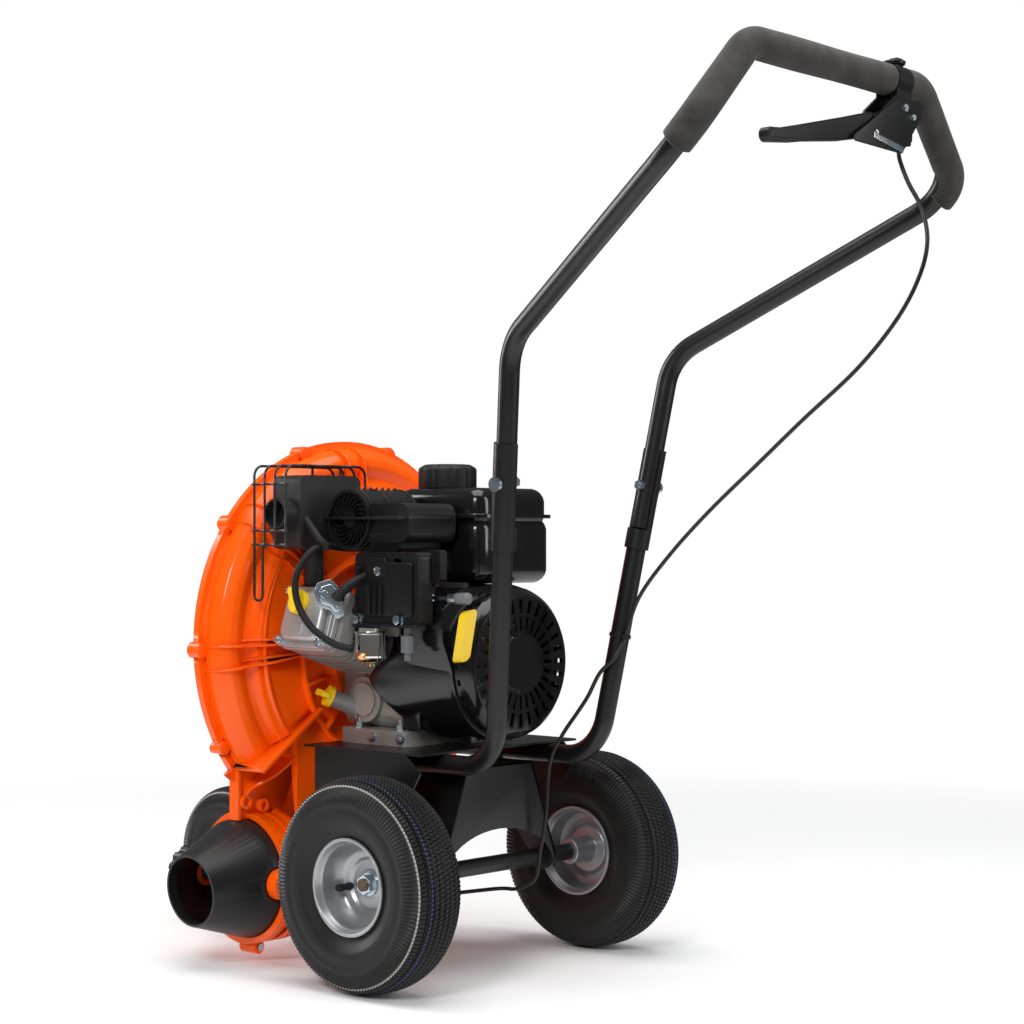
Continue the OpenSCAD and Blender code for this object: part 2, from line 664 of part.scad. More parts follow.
// The plate between the scroll's cut-off and the collar, which carries three bosses
module outlet_web(t) along_minus_y() linear_extrude(t) polygon([
    [cutoff_x - 8, outlet_height + 60], [cutoff_x - 8, 300], [212, 250], [222, 240], [224, 212],
    [206, outlet_height + skirt_r + 4], [collar_end - 2, outlet_height + skirt_r + 4]
]);

// Ribs across the rear face, in pairs that follow each arc of the scroll
rib_pairs = [[0, 0], [0, 38], [0, 78], [1, 122], [1, 164], [2, 206], [2, 238]];
module rear_ribs() {
    for (p = rib_pairs, s = [-1, 1]) let (a = scroll_arcs[p[0]], r = a[2])
        translate([a[0], split_y, a[1]]) rotate([0, -p[1] - s * 900 / r, 0])
            translate([0, 0, -1.5]) linear_extrude(3) polygon([
                [r - 132, rear_depth - 3], [r - 60, 38], [r - 20, 28], [r - 2, 6], [r - 2, 18],
                [r - 14, 36], [r - 48, 50], [r - 72, rear_depth + 6], [r - 132, rear_depth + 6]
            ]);
    for (k = [0:11]) translate([0, rear_face_y - 1, crank_height]) rotate([0, -15 - 30 * k, 0])
        translate([90, 0, -1.5]) cube([42, 12, 3]);
}

module housing_rear() color("#ff5a0a") at_home() {
    rear_shell();
    nozzle_ear();
}
module rear_shell() difference() {
    union() {
        scroll([for (a = scroll_arcs) rear_skin(a[2])]);
        translate([0, split_y, crank_height]) along_y() cylinder(h = rear_depth - face_step, r = fan_room_r + shell_wall);
        translate([0, rear_face_y - 1, crank_height]) along_y() difference() {
            cylinder(h = 10, r = 134);
            translate([0, 0, 1]) cylinder(h = 20, r = 130);
        }
        translate([0, rear_face_y - 1, crank_height]) along_y()
            cylinder(h = engine_face_y - rest_gap - rear_face_y + 1, r = 92);
        translate([0, split_y, outlet_height]) duct_skin();
        translate([0, split_y + lip_thickness, 0]) outlet_web(lip_thickness);
        at_screws() along_y() cylinder(h = 17, r = 9);
        cutoff_rib();
        rear_ribs();
        translate([179, -170, 83]) slab_x([14, 30, 14], 3);
    }
    scroll([for (a = scroll_arcs) rear_section(a[2], shell_wall)]);
    translate([0, split_y - 10, crank_height]) along_y()
        cylinder(h = rear_depth + 10 - shell_wall - face_step, r = fan_room_r);
    translate([0, split_y, outlet_height]) duct_room();
    translate([-600, split_y - 400, -200]) cube([1200, 400, 1200]);
    translate([0, split_y, crank_height]) along_y() cylinder(h = 200, r = crankshaft_d / 2 + 3);
    at_screws() along_y() translate([0, 0, -1]) cylinder(h = 30, r = 3);
    translate(pivot) along_y() cylinder(h = 200, r = 4);
}

// Raised edge where the scroll ends above the outlet
module cutoff_rib() translate([scroll_x, split_y, scroll_z]) rotate([0, -scroll_start, 0])
    translate([136, 0, -2]) cube([scroll_left_r + lip_width - 138, 66, 4]);

// Ear that reaches over the nozzle's skirt, with the boss that the nozzle turns on
ear_top = collar_r + 3;
arm_floor = skirt_r + free_gap + 1;
module nozzle_ear() translate(pivot) difference() {
    union() {
        translate([0, ear_floor, 0]) along_y() cylinder(h = ear_top - ear_floor, r = ear_r);
        translate([0, ear_floor - pad_t, 0]) along_y() cylinder(h = pad_t + 1, r = ear_boss_r);
        translate([-18, (arm_floor + ear_top) / 2, 0]) slab_x([28, ear_top - arm_floor, 26], 2);
    }
    along_y() cylinder(h = 200, r = 4);
}

module housing_front() color("#ff5a0a") at_home() {
    front_shell();
    translate([0, 2 * split_y, 0]) mirror([0, 1, 0]) nozzle_ear();
}
module front_shell() difference() {
    union() {
        scroll([for (a = scroll_arcs) front_skin(a[2])]);
        translate([0, split_y, crank_height]) along_minus_y()
            cylinder(h = front_depth - face_step, r = fan_room_r + shell_wall);
        translate([0, split_y, outlet_height]) duct_skin();
        translate([0, split_y, 0]) outlet_web(lip_thickness);
        at_screws() along_minus_y() cylinder(h = 12, r = 9);
    }
    difference() {
        union() {
            scroll([for (a = scroll_arcs) front_section(a[2], shell_wall)]);
            translate([0, split_y + 10, crank_height]) along_minus_y()
                cylinder(h = front_depth + 10 - shell_wall - face_step, r = fan_room_r);
        }
        translate([0, front_face_y, crank_height]) along_y() cylinder(h = 32, r = bell_r + shell_wall);
    }
    translate([0, split_y, outlet_height]) duct_room();
    translate([-600, split_y, -200]) cube([1200, 400, 1200]);
    translate([0, split_y, crank_height]) along_minus_y() cylinder(h = 200, r = bell_r);
    at_screws() along_minus_y() translate([0, 0, -1]) cylinder(h = 30, r = 3);
    translate(pivot) along_minus_y() cylinder(h = 200, r = 4);
}

module housing_screws() color("#3a3a3a") at_home() at_screws() {
    translate([0, -16, 0]) along_y() cylinder(h = 33, r = 2.8);
    translate([0, 17, 0]) along_y() hex_head(10, 4);
    translate([0, -12, 0]) along_minus_y() hex_head(10, 4);
}

// Round grille in front of the inlet: rings, spokes and three feet on the housing
guard_gap = 12;
guard_t = 4;
module inlet_guard() color("#202022") at_home() translate([0, front_face_y - rest_gap, crank_height])
    along_minus_y() {
        for (r = [20 : 15 : bell_r + 12]) translate([0, 0, guard_gap]) difference() {
            cylinder(h = guard_t, r = r + 2);
            translate([0, 0, -1]) cylinder(h = guard_t + 2, r = r - 2);
        }
        for (k = [0:5]) rotate(30 + 60 * k) translate([16, -2.5, guard_gap + 0.5]) cube([bell_r - 2, 5, guard_t - 1]);
        for (k = [0:2]) rotate(90 + 120 * k) translate([bell_r + 12, 0, 0]) difference() {
            cylinder(h = guard_gap + guard_t, r = 9);
            translate([0, 0, -1]) cylinder(h = 40, r = 3);
        }
    }

fan_back_y = -222;
fan_eye_r = bell_r - 2;
blade_t = 2.6;
blade_depth = 74;
blade_arc_r = 105;
blade_arc_centre = 115;
shroud_t = 3;
// Angle on a blade's arc at which it is r away from the shaft
function blade_angle(r) = acos((r * r - blade_arc_centre ^ 2 - blade_arc_r ^ 2) / (2 * blade_arc_centre * blade_arc_r));

// Closed fan wheel: back plate, hub, curved blades and a front ring
module fan_wheel() color("#5a5a5c") at_home() translate([0, fan_back_y, crank_height]) along_minus_y()
    difference() {
        union() {
            cylinder(h = shroud_t + 1, r = fan_r);
            cylinder(h = 46, r = crankshaft_d / 2 + 12);
            cylinder(h = 8, r = 52);
            for (k = [0:fan_blades - 1]) rotate(360 * k / fan_blades)
                translate([blade_arc_centre, 0, shroud_t])
                    rotate(blade_angle(fan_r - 1)) rotate_extrude(angle = blade_angle(fan_eye_r + 2) - blade_angle(fan_r - 1))
                        translate([blade_arc_r - blade_t / 2, 0]) square([blade_t, blade_depth]);
            translate([0, 0, shroud_t + blade_depth - 0.5]) difference() {
                cylinder(h = shroud_t, r = fan_r);
                translate([0, 0, -1]) cylinder(h = 10, r = fan_eye_r);
            }
        }
        translate([0, 0, -1]) cylinder(h = 80, r = crankshaft_d / 2);
    }

// ---------- nozzle ----------
mouth_r = mouth_d / 2;
neck_x = 6;
module nozzle_place() translate(pivot) rotate([0, nozzle_droop, 0]) children();
// Ball-shaped skirt that stays inside the collar, then a taper to the mouth
function nozzle_skin(r, m, back, tip) = [
    [0, back], each arc([0, 0], r, asin(back / r), asin(neck_x / r), 8), [m, tip], [0, tip]
];
pad_r = ear_r + 5;
module nozzle() color("#1e1e20") at_home() nozzle_place() difference() {
    union() {
        difference() {
            along_x() rotate_extrude() polygon(nozzle_skin(skirt_r, mouth_r, -34, nozzle_length));
            along_x() rotate_extrude() polygon(nozzle_skin(
                skirt_r - nozzle_wall, mouth_r - nozzle_wall, -35, nozzle_length - 14));
            along_x() cylinder(h = 200, r = mouth_r - nozzle_wall);
        }
        for (s = [-1, 1]) rotate([-90 * s, 0, 0]) translate([0, 0, ear_floor - pad_t]) cylinder(h = pad_t + 0.5, r = pad_r);
    }
    for (s = [-1, 1]) rotate([-90 * s, 0, 0]) {
        translate([0, 0, ear_floor - rest_gap]) cylinder(h = 40, r = ear_r + 2);
        cylinder(h = 200, r = ear_boss_r + run_gap);
    }
}

// Bolts that the nozzle turns on, each with a washer and a nut inside the nozzle
module pivot_bolts() color("#8fa3b8") at_home() for (s = [-1, 1]) translate(pivot) rotate([-90 * s, 0, 0]) {
    translate([0, 0, ear_floor - 16]) cylinder(h = ear_top - ear_floor + 16, r = 4);
    translate([0, 0, ear_floor - pad_t - rest_gap - 2]) cylinder(h = 2, r = 11);
    translate([0, 0, ear_floor - pad_t - rest_gap - 9]) hex_head(14, 7);
}

// Star knob on the front pivot
knob_r = 34;
module pivot_knob() color("#1e1e20") at_home() translate(pivot - [0, ear_top + rest_gap, 0])
    along_minus_y() {
        difference() {
            cylinder(h = 18, r = knob_r);
            for (k = [0:11]) rotate(30 * k) translate([knob_r + 4, 0, -1]) cylinder(h = 30, r = 7);
        }
        translate([0, 0, 18]) cylinder(h = 5, r = 14);
    }

// ---------- engine ----------
crank_r = crankshaft_d / 2;
case_back_y = shroud_front_y - 4;
case_y = (engine_face_y + case_back_y) / 2;
case_len = case_back_y - engine_face_y;
foot_top = base_top + 20;
dipstick_way = unit([40, -22, 20]);
dipstick_seat = [108, -176, 350];

module crankcase() color("#9a9892") at_home() difference() {
    union() {
        translate([0, case_y + 1, crank_height - 8]) slab_y([156, case_len - 2, 2 * (crank_height - 8 - foot_top) + 4], 26);
        translate([0, engine_face_y, crank_height]) along_y() cylinder(h = 8, r = 60);
        translate([0, (stud_y[0] + stud_y[1]) / 2, (base_top + foot_top) / 2]) slab_z([192, 122, 20], 8);
        translate([70, -140, crank_height - 52]) along_x() cylinder(h = 14, r = 30);
        translate([70, -140, crank_height - 52]) along_x() cylinder(h = 17, r = 22);
        for (s = [-1, 1], y = stud_y) translate([s * 64 - 4, y - 3, foot_top - 1]) cube([8, 6, 26]);
        rod_between(dipstick_seat - dipstick_way * 60, dipstick_seat, 12);
    }
    translate([0, -300, crank_height]) along_y() cylinder(h = 400, r = crank_r + run_gap);
    for (x = [-stud_x - 5, stud_x + 5], y = stud_y)
        translate([x * stud_x / (stud_x + 5), y, base_bottom]) cylinder(h = 40, r = stud_r + rest_gap);
}

module mount_studs() color("#b8b8b4") at_home() for (x = [-stud_x, stud_x], y = stud_y) translate([x, y, 0]) {
    translate([0, 0, base_bottom - 8]) cylinder(h = foot_top + 22 - base_bottom, r = stud_r);
    translate([0, 0, foot_top + rest_gap]) hex_head(14, 7);
    translate([0, 0, base_bottom - rest_gap - 6]) hex_head(14, 6);
}

module crankshaft() color("silver") at_home() {
    translate([0, fan_back_y - 60, crank_height]) along_y()
        cylinder(h = 60 - fan_back_y + shroud_back_y - 6, r = crank_r);
    translate([0, fan_back_y - 46, crank_height]) along_minus_y() hex_head(24, 10);
}

flywheel_r = 80;
module flywheel() color("#6a6a6c") at_home() translate([0, -2, crank_height]) along_y() difference() {
    union() {
        cylinder(h = 12, r = flywheel_r);
        cylinder(h = 30, r = 32);
        for (k = [0:17]) rotate(20 * k) translate([40, -1.5, 11]) cube([flywheel_r - 42, 3, 18]);
    }
    translate([0, 0, -1]) cylinder(h = 60, r = crank_r);
}

cylinder_y = -138;
fin_start = 84;
head_start = 156;
cover_start = 178;
module tilted() translate([0, cylinder_y, crank_height]) rotate([0, -cylinder_tilt, 0]) children();

module cylinder_barrel() {
    translate([50, 0, 0]) along_x() cylinder(h = head_start - 49, r = 38);
    for (k = [0:fin_count - 1])
        translate([fin_start + (head_start - fin_start - 4) * k / (fin_count - 1), 0, 0]) slab_x([2.6, 94, 88], 10);
    translate([(head_start + cover_start) / 2, 0, 0]) slab_x([cover_start - head_start, 98, 82], 10);
}
module engine_cylinder() color("#a6a6a2") at_home() difference() {
    tilted() cylinder_barrel();
    translate([-100, -300, 200]) cube([178 + rest_gap, 400, 400]);
}

cover_y = -5;
module valve_cover() color("#b4b4b0") at_home() tilted() translate([0, cover_y, 0]) {
    translate([cover_start + rest_gap + 4, 0, 0]) slab_x([8, 92, 84], 14);
    translate([cover_start + 16, 0, 0]) slab_x([18, 80, 70], 18);
    for (y = [-38, 38], z = [-33, 33]) translate([cover_start + 8, y, z]) along_x() cylinder(h = 10, r = 6);
}

oil_cap_at = [cover_start + 25 + rest_gap, -12, 16];
module oil_cap() color("#f2c200") at_home() tilted() translate(oil_cap_at) along_x() {
    cylinder(h = 6, r = 16);
    rotate(35) translate([0, 0, 10]) slab_z([38, 8, 10], 3.9);
}

module dipstick() color("#f2c200") at_home()
    placed(dipstick_seat + dipstick_way * rest_gap, unit(cross([0, 0, 1], dipstick_way)), dipstick_way) {
        cylinder(h = 8, r = 14);
        translate([0, 0, 13]) slab_z([34, 8, 12], 3.9);
    }

module breather_hose() color("#161618") at_home() bent_tube([
    [134 + rest_gap, -129, 548], [214, -134, 546], [214, -120, 452], [196, -84, 426], [170, -69, 420]
], [14, 24, 16], 4.5);

// Bright pressed plate behind the valve cover
shield_way = [0.6, 0.8, 0];
module heat_shield() color("#d0d2d4") at_home() placed([182, -88, 484], [0, 0, 1], shield_way) {
    translate([0, 0, -12.2]) cylinder(h = 13, r = 6);
    cylinder(h = 2, r = 25);
    difference() {
        cylinder(h = 4.5, r = 21);
        translate([0, 0, 1]) cylinder(h = 10, r = 17);
    }
    cylinder(h = 8, r = 7);
}

shroud_r = 101;
shroud_wall = 3;
module shroud_outline(r) {
    circle(r = r);
    polygon([[0, r], [84, r - 6], [118, r - 30], [118, r - 70], [r - 1, -10], [40, -40], [0, 0]]);
}
module blower_shroud() color("#1a1a1c") at_home() difference() {
    union() {
        translate([0, shroud_back_y, crank_height]) along_minus_y()
            linear_extrude(shroud_back_y - shroud_front_y) shroud_outline(shroud_r);
        translate([82, 0, 0]) rotate([90, 0, 90]) linear_extrude(4) polygon([
            [shroud_front_y + 2, foot_top + rest_gap], [-56, foot_top + rest_gap], [-96, 372], [-86, 400], [-84, 440], [shroud_front_y + 2, 486]
        ]);
        translate([-40, shroud_front_y + 20, base_top + 4]) cube([80, 30, 30]);
    }
    translate([0, shroud_back_y + 1, crank_height]) along_minus_y()
        linear_extrude(shroud_back_y - shroud_front_y + 1 - shroud_wall) circle(r = shroud_r - 8);
    translate([0, -300, crank_height]) along_y() cylinder(h = 400, r = crank_r + 6);
}

// Recoil starter cover with two rings of slots, side windows and a plain centre disc
recoil_r = recoil_d / 2;
recoil_depth = 26;
slot_count = 28;
module recoil_cover() color("#1a1a1c") at_home() translate([0, shroud_back_y + rest_gap, crank_height]) along_y() {
    difference() {
        union() {
            rotate_extrude() polygon([
                [0, 0], [recoil_r, 0], [recoil_r, 12], [recoil_r - 3, 19], [recoil_r - 10, recoil_depth], [0, recoil_depth]
            ]);
            cylinder(h = recoil_depth + 8, r = 36);
        }
        translate([0, 0, -1]) rotate_extrude() polygon([
            [0, 0], [recoil_r - 4, 0], [recoil_r - 4, 12], [recoil_r - 12, recoil_depth - 2], [0, recoil_depth - 2]
        ]);
        for (k = [0:slot_count - 1]) rotate(360 * k / slot_count) {
            translate([42, -2.2, recoil_depth - 10]) cube([18, 4.4, 30]);
            translate([65, -3, recoil_depth - 10]) cube([17, 6, 30]);
            translate([recoil_r - 8, -4, 4]) cube([20, 8, 6]);
        }
    }
    translate([recoil_r - 10, -44, 0]) cube([20, 20, 16]);
}

grip_at = [105, shroud_back_y + 26, crank_height + 38];
module recoil_handle() color("#f2c200") at_home() translate(grip_at) rotate([8, 12, 0]) {
    slab_y([17, 13, 68], 7);
    translate([0, -8, -6]) along_y() cylinder(h = 6, r = 6);
}

// Fuel tank: lower and upper shell with the welded seam between them
tank_x = -27;
tank_y = -50;
tank_depth = 160;
tank_bottom = crank_height + shroud_r + rest_gap;
tank_seam_z = 589;
tank_top = 626;
cap_at = [-20, -87];
module fuel_tank() color("#161618") at_home() {
    translate([tank_x, tank_y, (tank_bottom + tank_seam_z) / 2])
        soft_box([tank_width, tank_depth, tank_seam_z - tank_bottom], 20);
    translate([tank_x, tank_y, tank_seam_z]) slab_z([tank_width + 10, tank_depth + 10, 5], 24);
    translate([tank_x, tank_y, (tank_top + tank_seam_z) / 2 - 8])
        soft_box([tank_width - 4, tank_depth - 4, tank_top - tank_seam_z + 16], 20);
    translate([cap_at.x, cap_at.y, tank_top - 8]) cylinder(h = 14, r = fuel_cap_d / 2 - 7);
}

module fuel_cap() color("#161618") at_home() translate([cap_at.x, cap_at.y, tank_top + rest_gap]) difference() {
    union() {
        cylinder(h = 26, r = fuel_cap_d / 2 - 2);
        translate([0, 0, 26]) cylinder(h = 6, r = fuel_cap_d / 2 - 8);
        for (k = [0:17]) rotate(20 * k) translate([fuel_cap_d / 2 - 6, -2.5, 2]) cube([6, 5, 22]);
    }
    translate([0, 0, -1]) cylinder(h = 8, r = fuel_cap_d / 2 - 7 + rest_gap);
}

// Air cleaner: drum lying across, box behind it and the seam plate
drum_r = drum_d / 2;
drum_at = [53, -104, 584];
drum_len = 94;
seam_plate = [102, -74, 587];
module air_cleaner() color("#1a1a1c") at_home() {
    difference() {
        union() {
            translate(drum_at) along_x() cylinder(h = drum_len, r = drum_r);
            translate([98, -46, 580]) slab_x([86, 90, 50], 16);
            translate(seam_plate) slab_z([96, 150, 4], 12);
            translate([96, -80, 558]) slab_x([76, 110, 30], 8);
        }
        translate(drum_at + [drum_len - 9, 0, 0]) along_x() cylinder(h = 20, r = drum_r - 4);
    }
}

// Curved vanes in the drum's open end
vane_arc_r = 20;
vane_t = 1.4;
vane_hub_r = 10;
// Angle on a vane's arc at which it is r away from the axis
function vane_angle(r) = 2 * acos(r / 2 / vane_arc_r);
module swirl_vanes() color("#202022") at_home() translate(drum_at + [drum_len - 9 + rest_gap, 0, 0]) along_x() {
    cylinder(h = 7, r = vane_hub_r);
    difference() {
        cylinder(h = 3, r = drum_r - 4 - rest_gap);
        translate([0, 0, -1]) cylinder(h = 10, r = drum_r - 7);
    }
    for (k = [0:vane_count - 1]) rotate(360 * k / vane_count) translate([vane_arc_r, 0, 0.5])
        rotate(vane_angle(drum_r - 6)) rotate_extrude(angle = vane_angle(vane_hub_r - 1) - vane_angle(drum_r - 6))
            translate([vane_arc_r - vane_t / 2, 0]) square([vane_t, 5]);
}

module intake_cover() color("#1a1a1c") at_home() {
    difference() {
        translate([137, -31.5, 497]) slab_x([26, 113, 92], 9);
        translate([144, -12, 532]) slab_x([20, 14, 6], 2.9);
    }
    translate([118, 18, 526]) slab_x([12, 40, 40], 5);
    translate([118, 6, 497]) slab_x([12, 24, 14], 3);
    for (p = [[-80, 520], [-8, 462], [-84, 468]]) translate([150, p.x, p.y]) along_x() hex_head(11, 5);
}

// Carburetor: body, flange and float bowl
bowl_at = [146, -63];
module carburetor() color("#b0b0aa") at_home() {
    translate([104, cylinder_y + 47 + rest_gap + 25, 456]) slab_x([32, 50, 42], 6);
    translate([bowl_at.x - 14, bowl_at.y, 443.5]) slab_z([44, 34, 6], 4);
    translate([bowl_at.x, bowl_at.y, 408]) cylinder(h = 34, r = 20);
    translate([bowl_at.x, bowl_at.y, 402]) cylinder(h = 8, r = 6);
}

module fuel_filter() color("#6a6c6e") at_home() translate([137, -6, 0]) {
    translate([0, 0, 416]) cylinder(h = 22, r = 9);
    translate([0, 0, 406]) cylinder(h = 12, r = 5);
    translate([0, 0, 436]) cylinder(h = 451 - rest_gap - 436, r = 5);
}

throttle_pivot = [116, 12, 490 - rest_gap];
module throttle_lever() color("#a8aaac") at_home() translate(throttle_pivot) {
    translate([0, 0, -8]) cylinder(h = 8, r = 7);
    translate([0, 4, -4]) along_y() cylinder(h = 36, r = 3);
    translate([0, 36, -4]) along_y() cylinder(h = 20, r = 7);
}

stop_pivot = [115, 28, 506 - rest_gap];
module stop_switch() color("#161618") at_home() translate(stop_pivot) {
    translate([0, 0, -6]) cylinder(h = 6, r = 8);
    translate([0, 24, -3.5]) slab_z([12, 44, 6], 3);
}

// Muffler with its pipe from the head and its round outlet to the left
muffler_at = [134, -176, 594];
muffler_size = [108, 52, 96];
outlet_at = [186, -174, 592];
module muffler() color("#1c1a1a") at_home() difference() {
    union() {
        translate(muffler_at) slab_y(muffler_size, 12);
        translate([146, -170, 500]) cylinder(h = 54, r = 13);
        tilted() translate([(head_start + cover_start) / 2, -32, 44 + rest_gap]) slab_z([21, 34, 6], 4);
        tilted() translate([(head_start + cover_start) / 2 + 1, -32, 44]) cylinder(h = 12, r = 10);
        translate(outlet_at) along_x() cylinder(h = 24, r = exhaust_d / 2);
    }
    translate(outlet_at) along_x() cylinder(h = 40, r = exhaust_d / 2 - 2.5);
}

// Wire cage round the muffler
wire_r = 1.7;
cage_in_x = 74;
cage_out_x = 215;
cage_top_z = 654;
cage_y = [-208, -188, -168, -148];
module muffler_guard() color("#161618") at_home() {
    for (y = cage_y) bent_tube(
        [[cage_in_x, y, 610], [cage_in_x, y, cage_top_z], [cage_out_x, y, cage_top_z], [cage_out_x, y, 548]],
        [14, 14], wire_r);
    for (p = [[100, cage_top_z], [150, cage_top_z], [190, cage_top_z], [cage_out_x, 630], [cage_out_x, 570], [cage_out_x, 552]])
        translate([p.x, cage_y[0] - 4, p.y]) along_y() cylinder(h = cage_y[3] - cage_y[0] + 8, r = wire_r);
    bent_tube([[cage_out_x, -208, 548], [cage_out_x, -208, 480], [cage_out_x, -192, 480], [cage_out_x, -192, 552]],
             [7, 7], wire_r);
    for (x = [100, 150]) translate([x, -168, muffler_at.z + muffler_size.z / 2]) cylinder(h = 12, r = wire_r);
}

base_plate();
axle_bracket();
axle();
axle_nuts();
tire_left();
rim_left();
tire_right();
rim_right();
front_fork();
front_axle();
tire_front();
rim_front();
lower_handle_left();
lower_handle_right();
upper_handle();
handle_bolts();
foam_left();
foam_right();
lever_bracket();
lever();
control_cable();
cable_tie();
housing_rear();
housing_front();
housing_screws();
inlet_guard();
fan_wheel();
nozzle();
pivot_bolts();
pivot_knob();
crankcase();
mount_studs();
crankshaft();
flywheel();
engine_cylinder();
valve_cover();
oil_cap();
dipstick();
breather_hose();
heat_shield();
blower_shroud();
recoil_cover();
recoil_handle();
fuel_tank();
fuel_cap();
air_cleaner();
swirl_vanes();
intake_cover();
carburetor();
fuel_filter();
throttle_lever();
stop_switch();
muffler();
muffler_guard();
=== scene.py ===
# %% [markdown]
# # A walk-behind leaf blower
# This machine is pushed like a pram: an engine turns a fan inside an orange scroll, and the air leaves
# low down at the left through a black nozzle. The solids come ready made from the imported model, in metres.
# This notebook dresses them: it gives each solid its finish, and it makes again, in finer detail, the
# pieces whose surface a plain solid can't show, such as tire treads, foam grips and castings.

# %% Load the solids
import json
import math

import bmesh
import bpy
import numpy as np
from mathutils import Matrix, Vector


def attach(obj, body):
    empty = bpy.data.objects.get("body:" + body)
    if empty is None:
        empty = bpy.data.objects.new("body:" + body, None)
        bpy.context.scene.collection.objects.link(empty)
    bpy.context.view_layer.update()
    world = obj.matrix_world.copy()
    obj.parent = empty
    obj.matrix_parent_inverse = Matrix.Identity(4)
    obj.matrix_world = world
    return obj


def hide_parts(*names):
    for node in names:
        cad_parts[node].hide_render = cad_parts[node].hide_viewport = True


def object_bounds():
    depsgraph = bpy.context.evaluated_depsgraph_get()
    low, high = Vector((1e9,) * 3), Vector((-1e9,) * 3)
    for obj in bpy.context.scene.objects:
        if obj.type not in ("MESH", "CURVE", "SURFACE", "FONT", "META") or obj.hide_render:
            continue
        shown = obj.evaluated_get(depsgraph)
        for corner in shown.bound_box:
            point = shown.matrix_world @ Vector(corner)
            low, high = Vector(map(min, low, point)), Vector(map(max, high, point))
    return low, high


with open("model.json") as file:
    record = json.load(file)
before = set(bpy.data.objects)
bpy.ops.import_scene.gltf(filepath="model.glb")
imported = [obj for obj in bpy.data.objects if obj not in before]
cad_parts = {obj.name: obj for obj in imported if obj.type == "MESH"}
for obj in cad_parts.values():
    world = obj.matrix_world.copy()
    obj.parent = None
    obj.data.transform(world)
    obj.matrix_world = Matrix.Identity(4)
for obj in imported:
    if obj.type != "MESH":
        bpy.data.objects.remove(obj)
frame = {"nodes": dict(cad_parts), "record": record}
nodes = frame["nodes"]
solid_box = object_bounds()
low, high = ([round(v, 3) for v in corner] for corner in solid_box)
print(len(nodes), "solids from", low, "to", high)

# %% [markdown]
# The drawing of the machine counts from the middle of the rear axle, in millimetres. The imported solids
# count from the middle of the footprint, in metres. One small function turns the first into the second,
# so every size below can be read off the drawing.

# %% From the drawing to the scene
FOOTPRINT = np.array([-1.0065, 13.65, 0.0])
REAR_R, FRONT_R = 134.0, 100.0
WHEEL_X, FRONT_AXLE = 214, (0, -490, FRONT_R)


def drawn(points):
    """Scene point = (drawn point + shift to the footprint's middle) / 1000."""
    return (np.asarray(points, float) + FOOTPRINT) / 1000


print("rear axle in the scene:", drawn([0, 0, REAR_R]).round(4))

# %% [markdown]
# ## The camera
# The camera stands behind and to the left of the machine, a little above the axles, and looks almost
# level. It is turned 132 degrees from straight ahead. A long lens, 78 mm on a 36 mm sensor, keeps the
# wheels' ellipses calm. A small lens shift puts the middle of the view a little above the middle of the
# picture without tilting the camera, so upright tubes stay upright.

# %% Camera
TURN, DIP = math.radians(132.12), math.radians(0.485)
looking = Vector((-math.sin(TURN) * math.cos(DIP), math.cos(TURN) * math.cos(DIP), -math.sin(DIP)))
lens = bpy.data.cameras.new("camera")
lens.sensor_width, lens.lens = 36, 77.72
lens.shift_x, lens.shift_y = 0.0038, 0.0383
camera = bpy.data.objects.new("camera", lens)
camera.location = (2.11532, 1.96736, 0.56783)
camera.rotation_mode = "QUATERNION"
camera.rotation_quaternion = looking.to_track_quat("-Z", "Y")
bpy.context.scene.collection.objects.link(camera)
bpy.context.scene.camera = camera
print("camera at", camera.location.to_tuple(3), "looking along", looking.to_tuple(3))

# %% [markdown]
# ## Surfaces from arrays
# Nearly every piece here is a skin over a grid of points. The first index runs one way round the piece
# and the second runs the other way, and four neighbours make a face. numpy works out all the points at
# once. Where the grid closes on itself, or shrinks to a point at a pole, points that fall together are
# merged, and the faces are turned to point outwards.

# %% Grid to mesh


def quads_of(rows, columns, close_rows, close_columns):
    """Face = (i, j), (i+1, j), (i+1, j+1), (i, j+1), and the last row or column may meet the first."""
    index = np.arange(rows * columns).reshape(rows, columns)
    here = index if close_rows else index[:-1]
    after = np.roll(index, -1, 0) if close_rows else index[1:]
    if close_columns:
        cells = [here, after, np.roll(after, -1, 1), np.roll(here, -1, 1)]
    else:
        cells = [here[:, :-1], after[:, :-1], after[:, 1:], here[:, 1:]]
    return np.stack(cells, -1).reshape(-1, 4)


def skin(name, points, close_rows=True, close_columns=True, marks=None, crease=35):
    """Mesh object over a grid of points (rows, columns, 3) in metres.
    marks are values at each point, by name."""
    points = np.asarray(points, float)
    rows, columns = points.shape[:2]
    quads = quads_of(rows, columns, close_rows, close_columns)
    mesh = bpy.data.meshes.new(name)
    mesh.vertices.add(rows * columns)
    mesh.vertices.foreach_set("co", points.reshape(-1).astype(np.float32))
    mesh.loops.add(quads.size)
    mesh.loops.foreach_set("vertex_index", quads.reshape(-1).astype(np.int32))
    mesh.polygons.add(len(quads))
    mesh.polygons.foreach_set("loop_start", np.arange(0, quads.size, 4, dtype=np.int32))
    mesh.update(calc_edges=True)
    for key, values in (marks or {}).items():
        stored = mesh.attributes.new(key, "FLOAT", "POINT").data
        stored.foreach_set("value", np.asarray(values, np.float32).reshape(-1))
    return settled(name, mesh, crease)


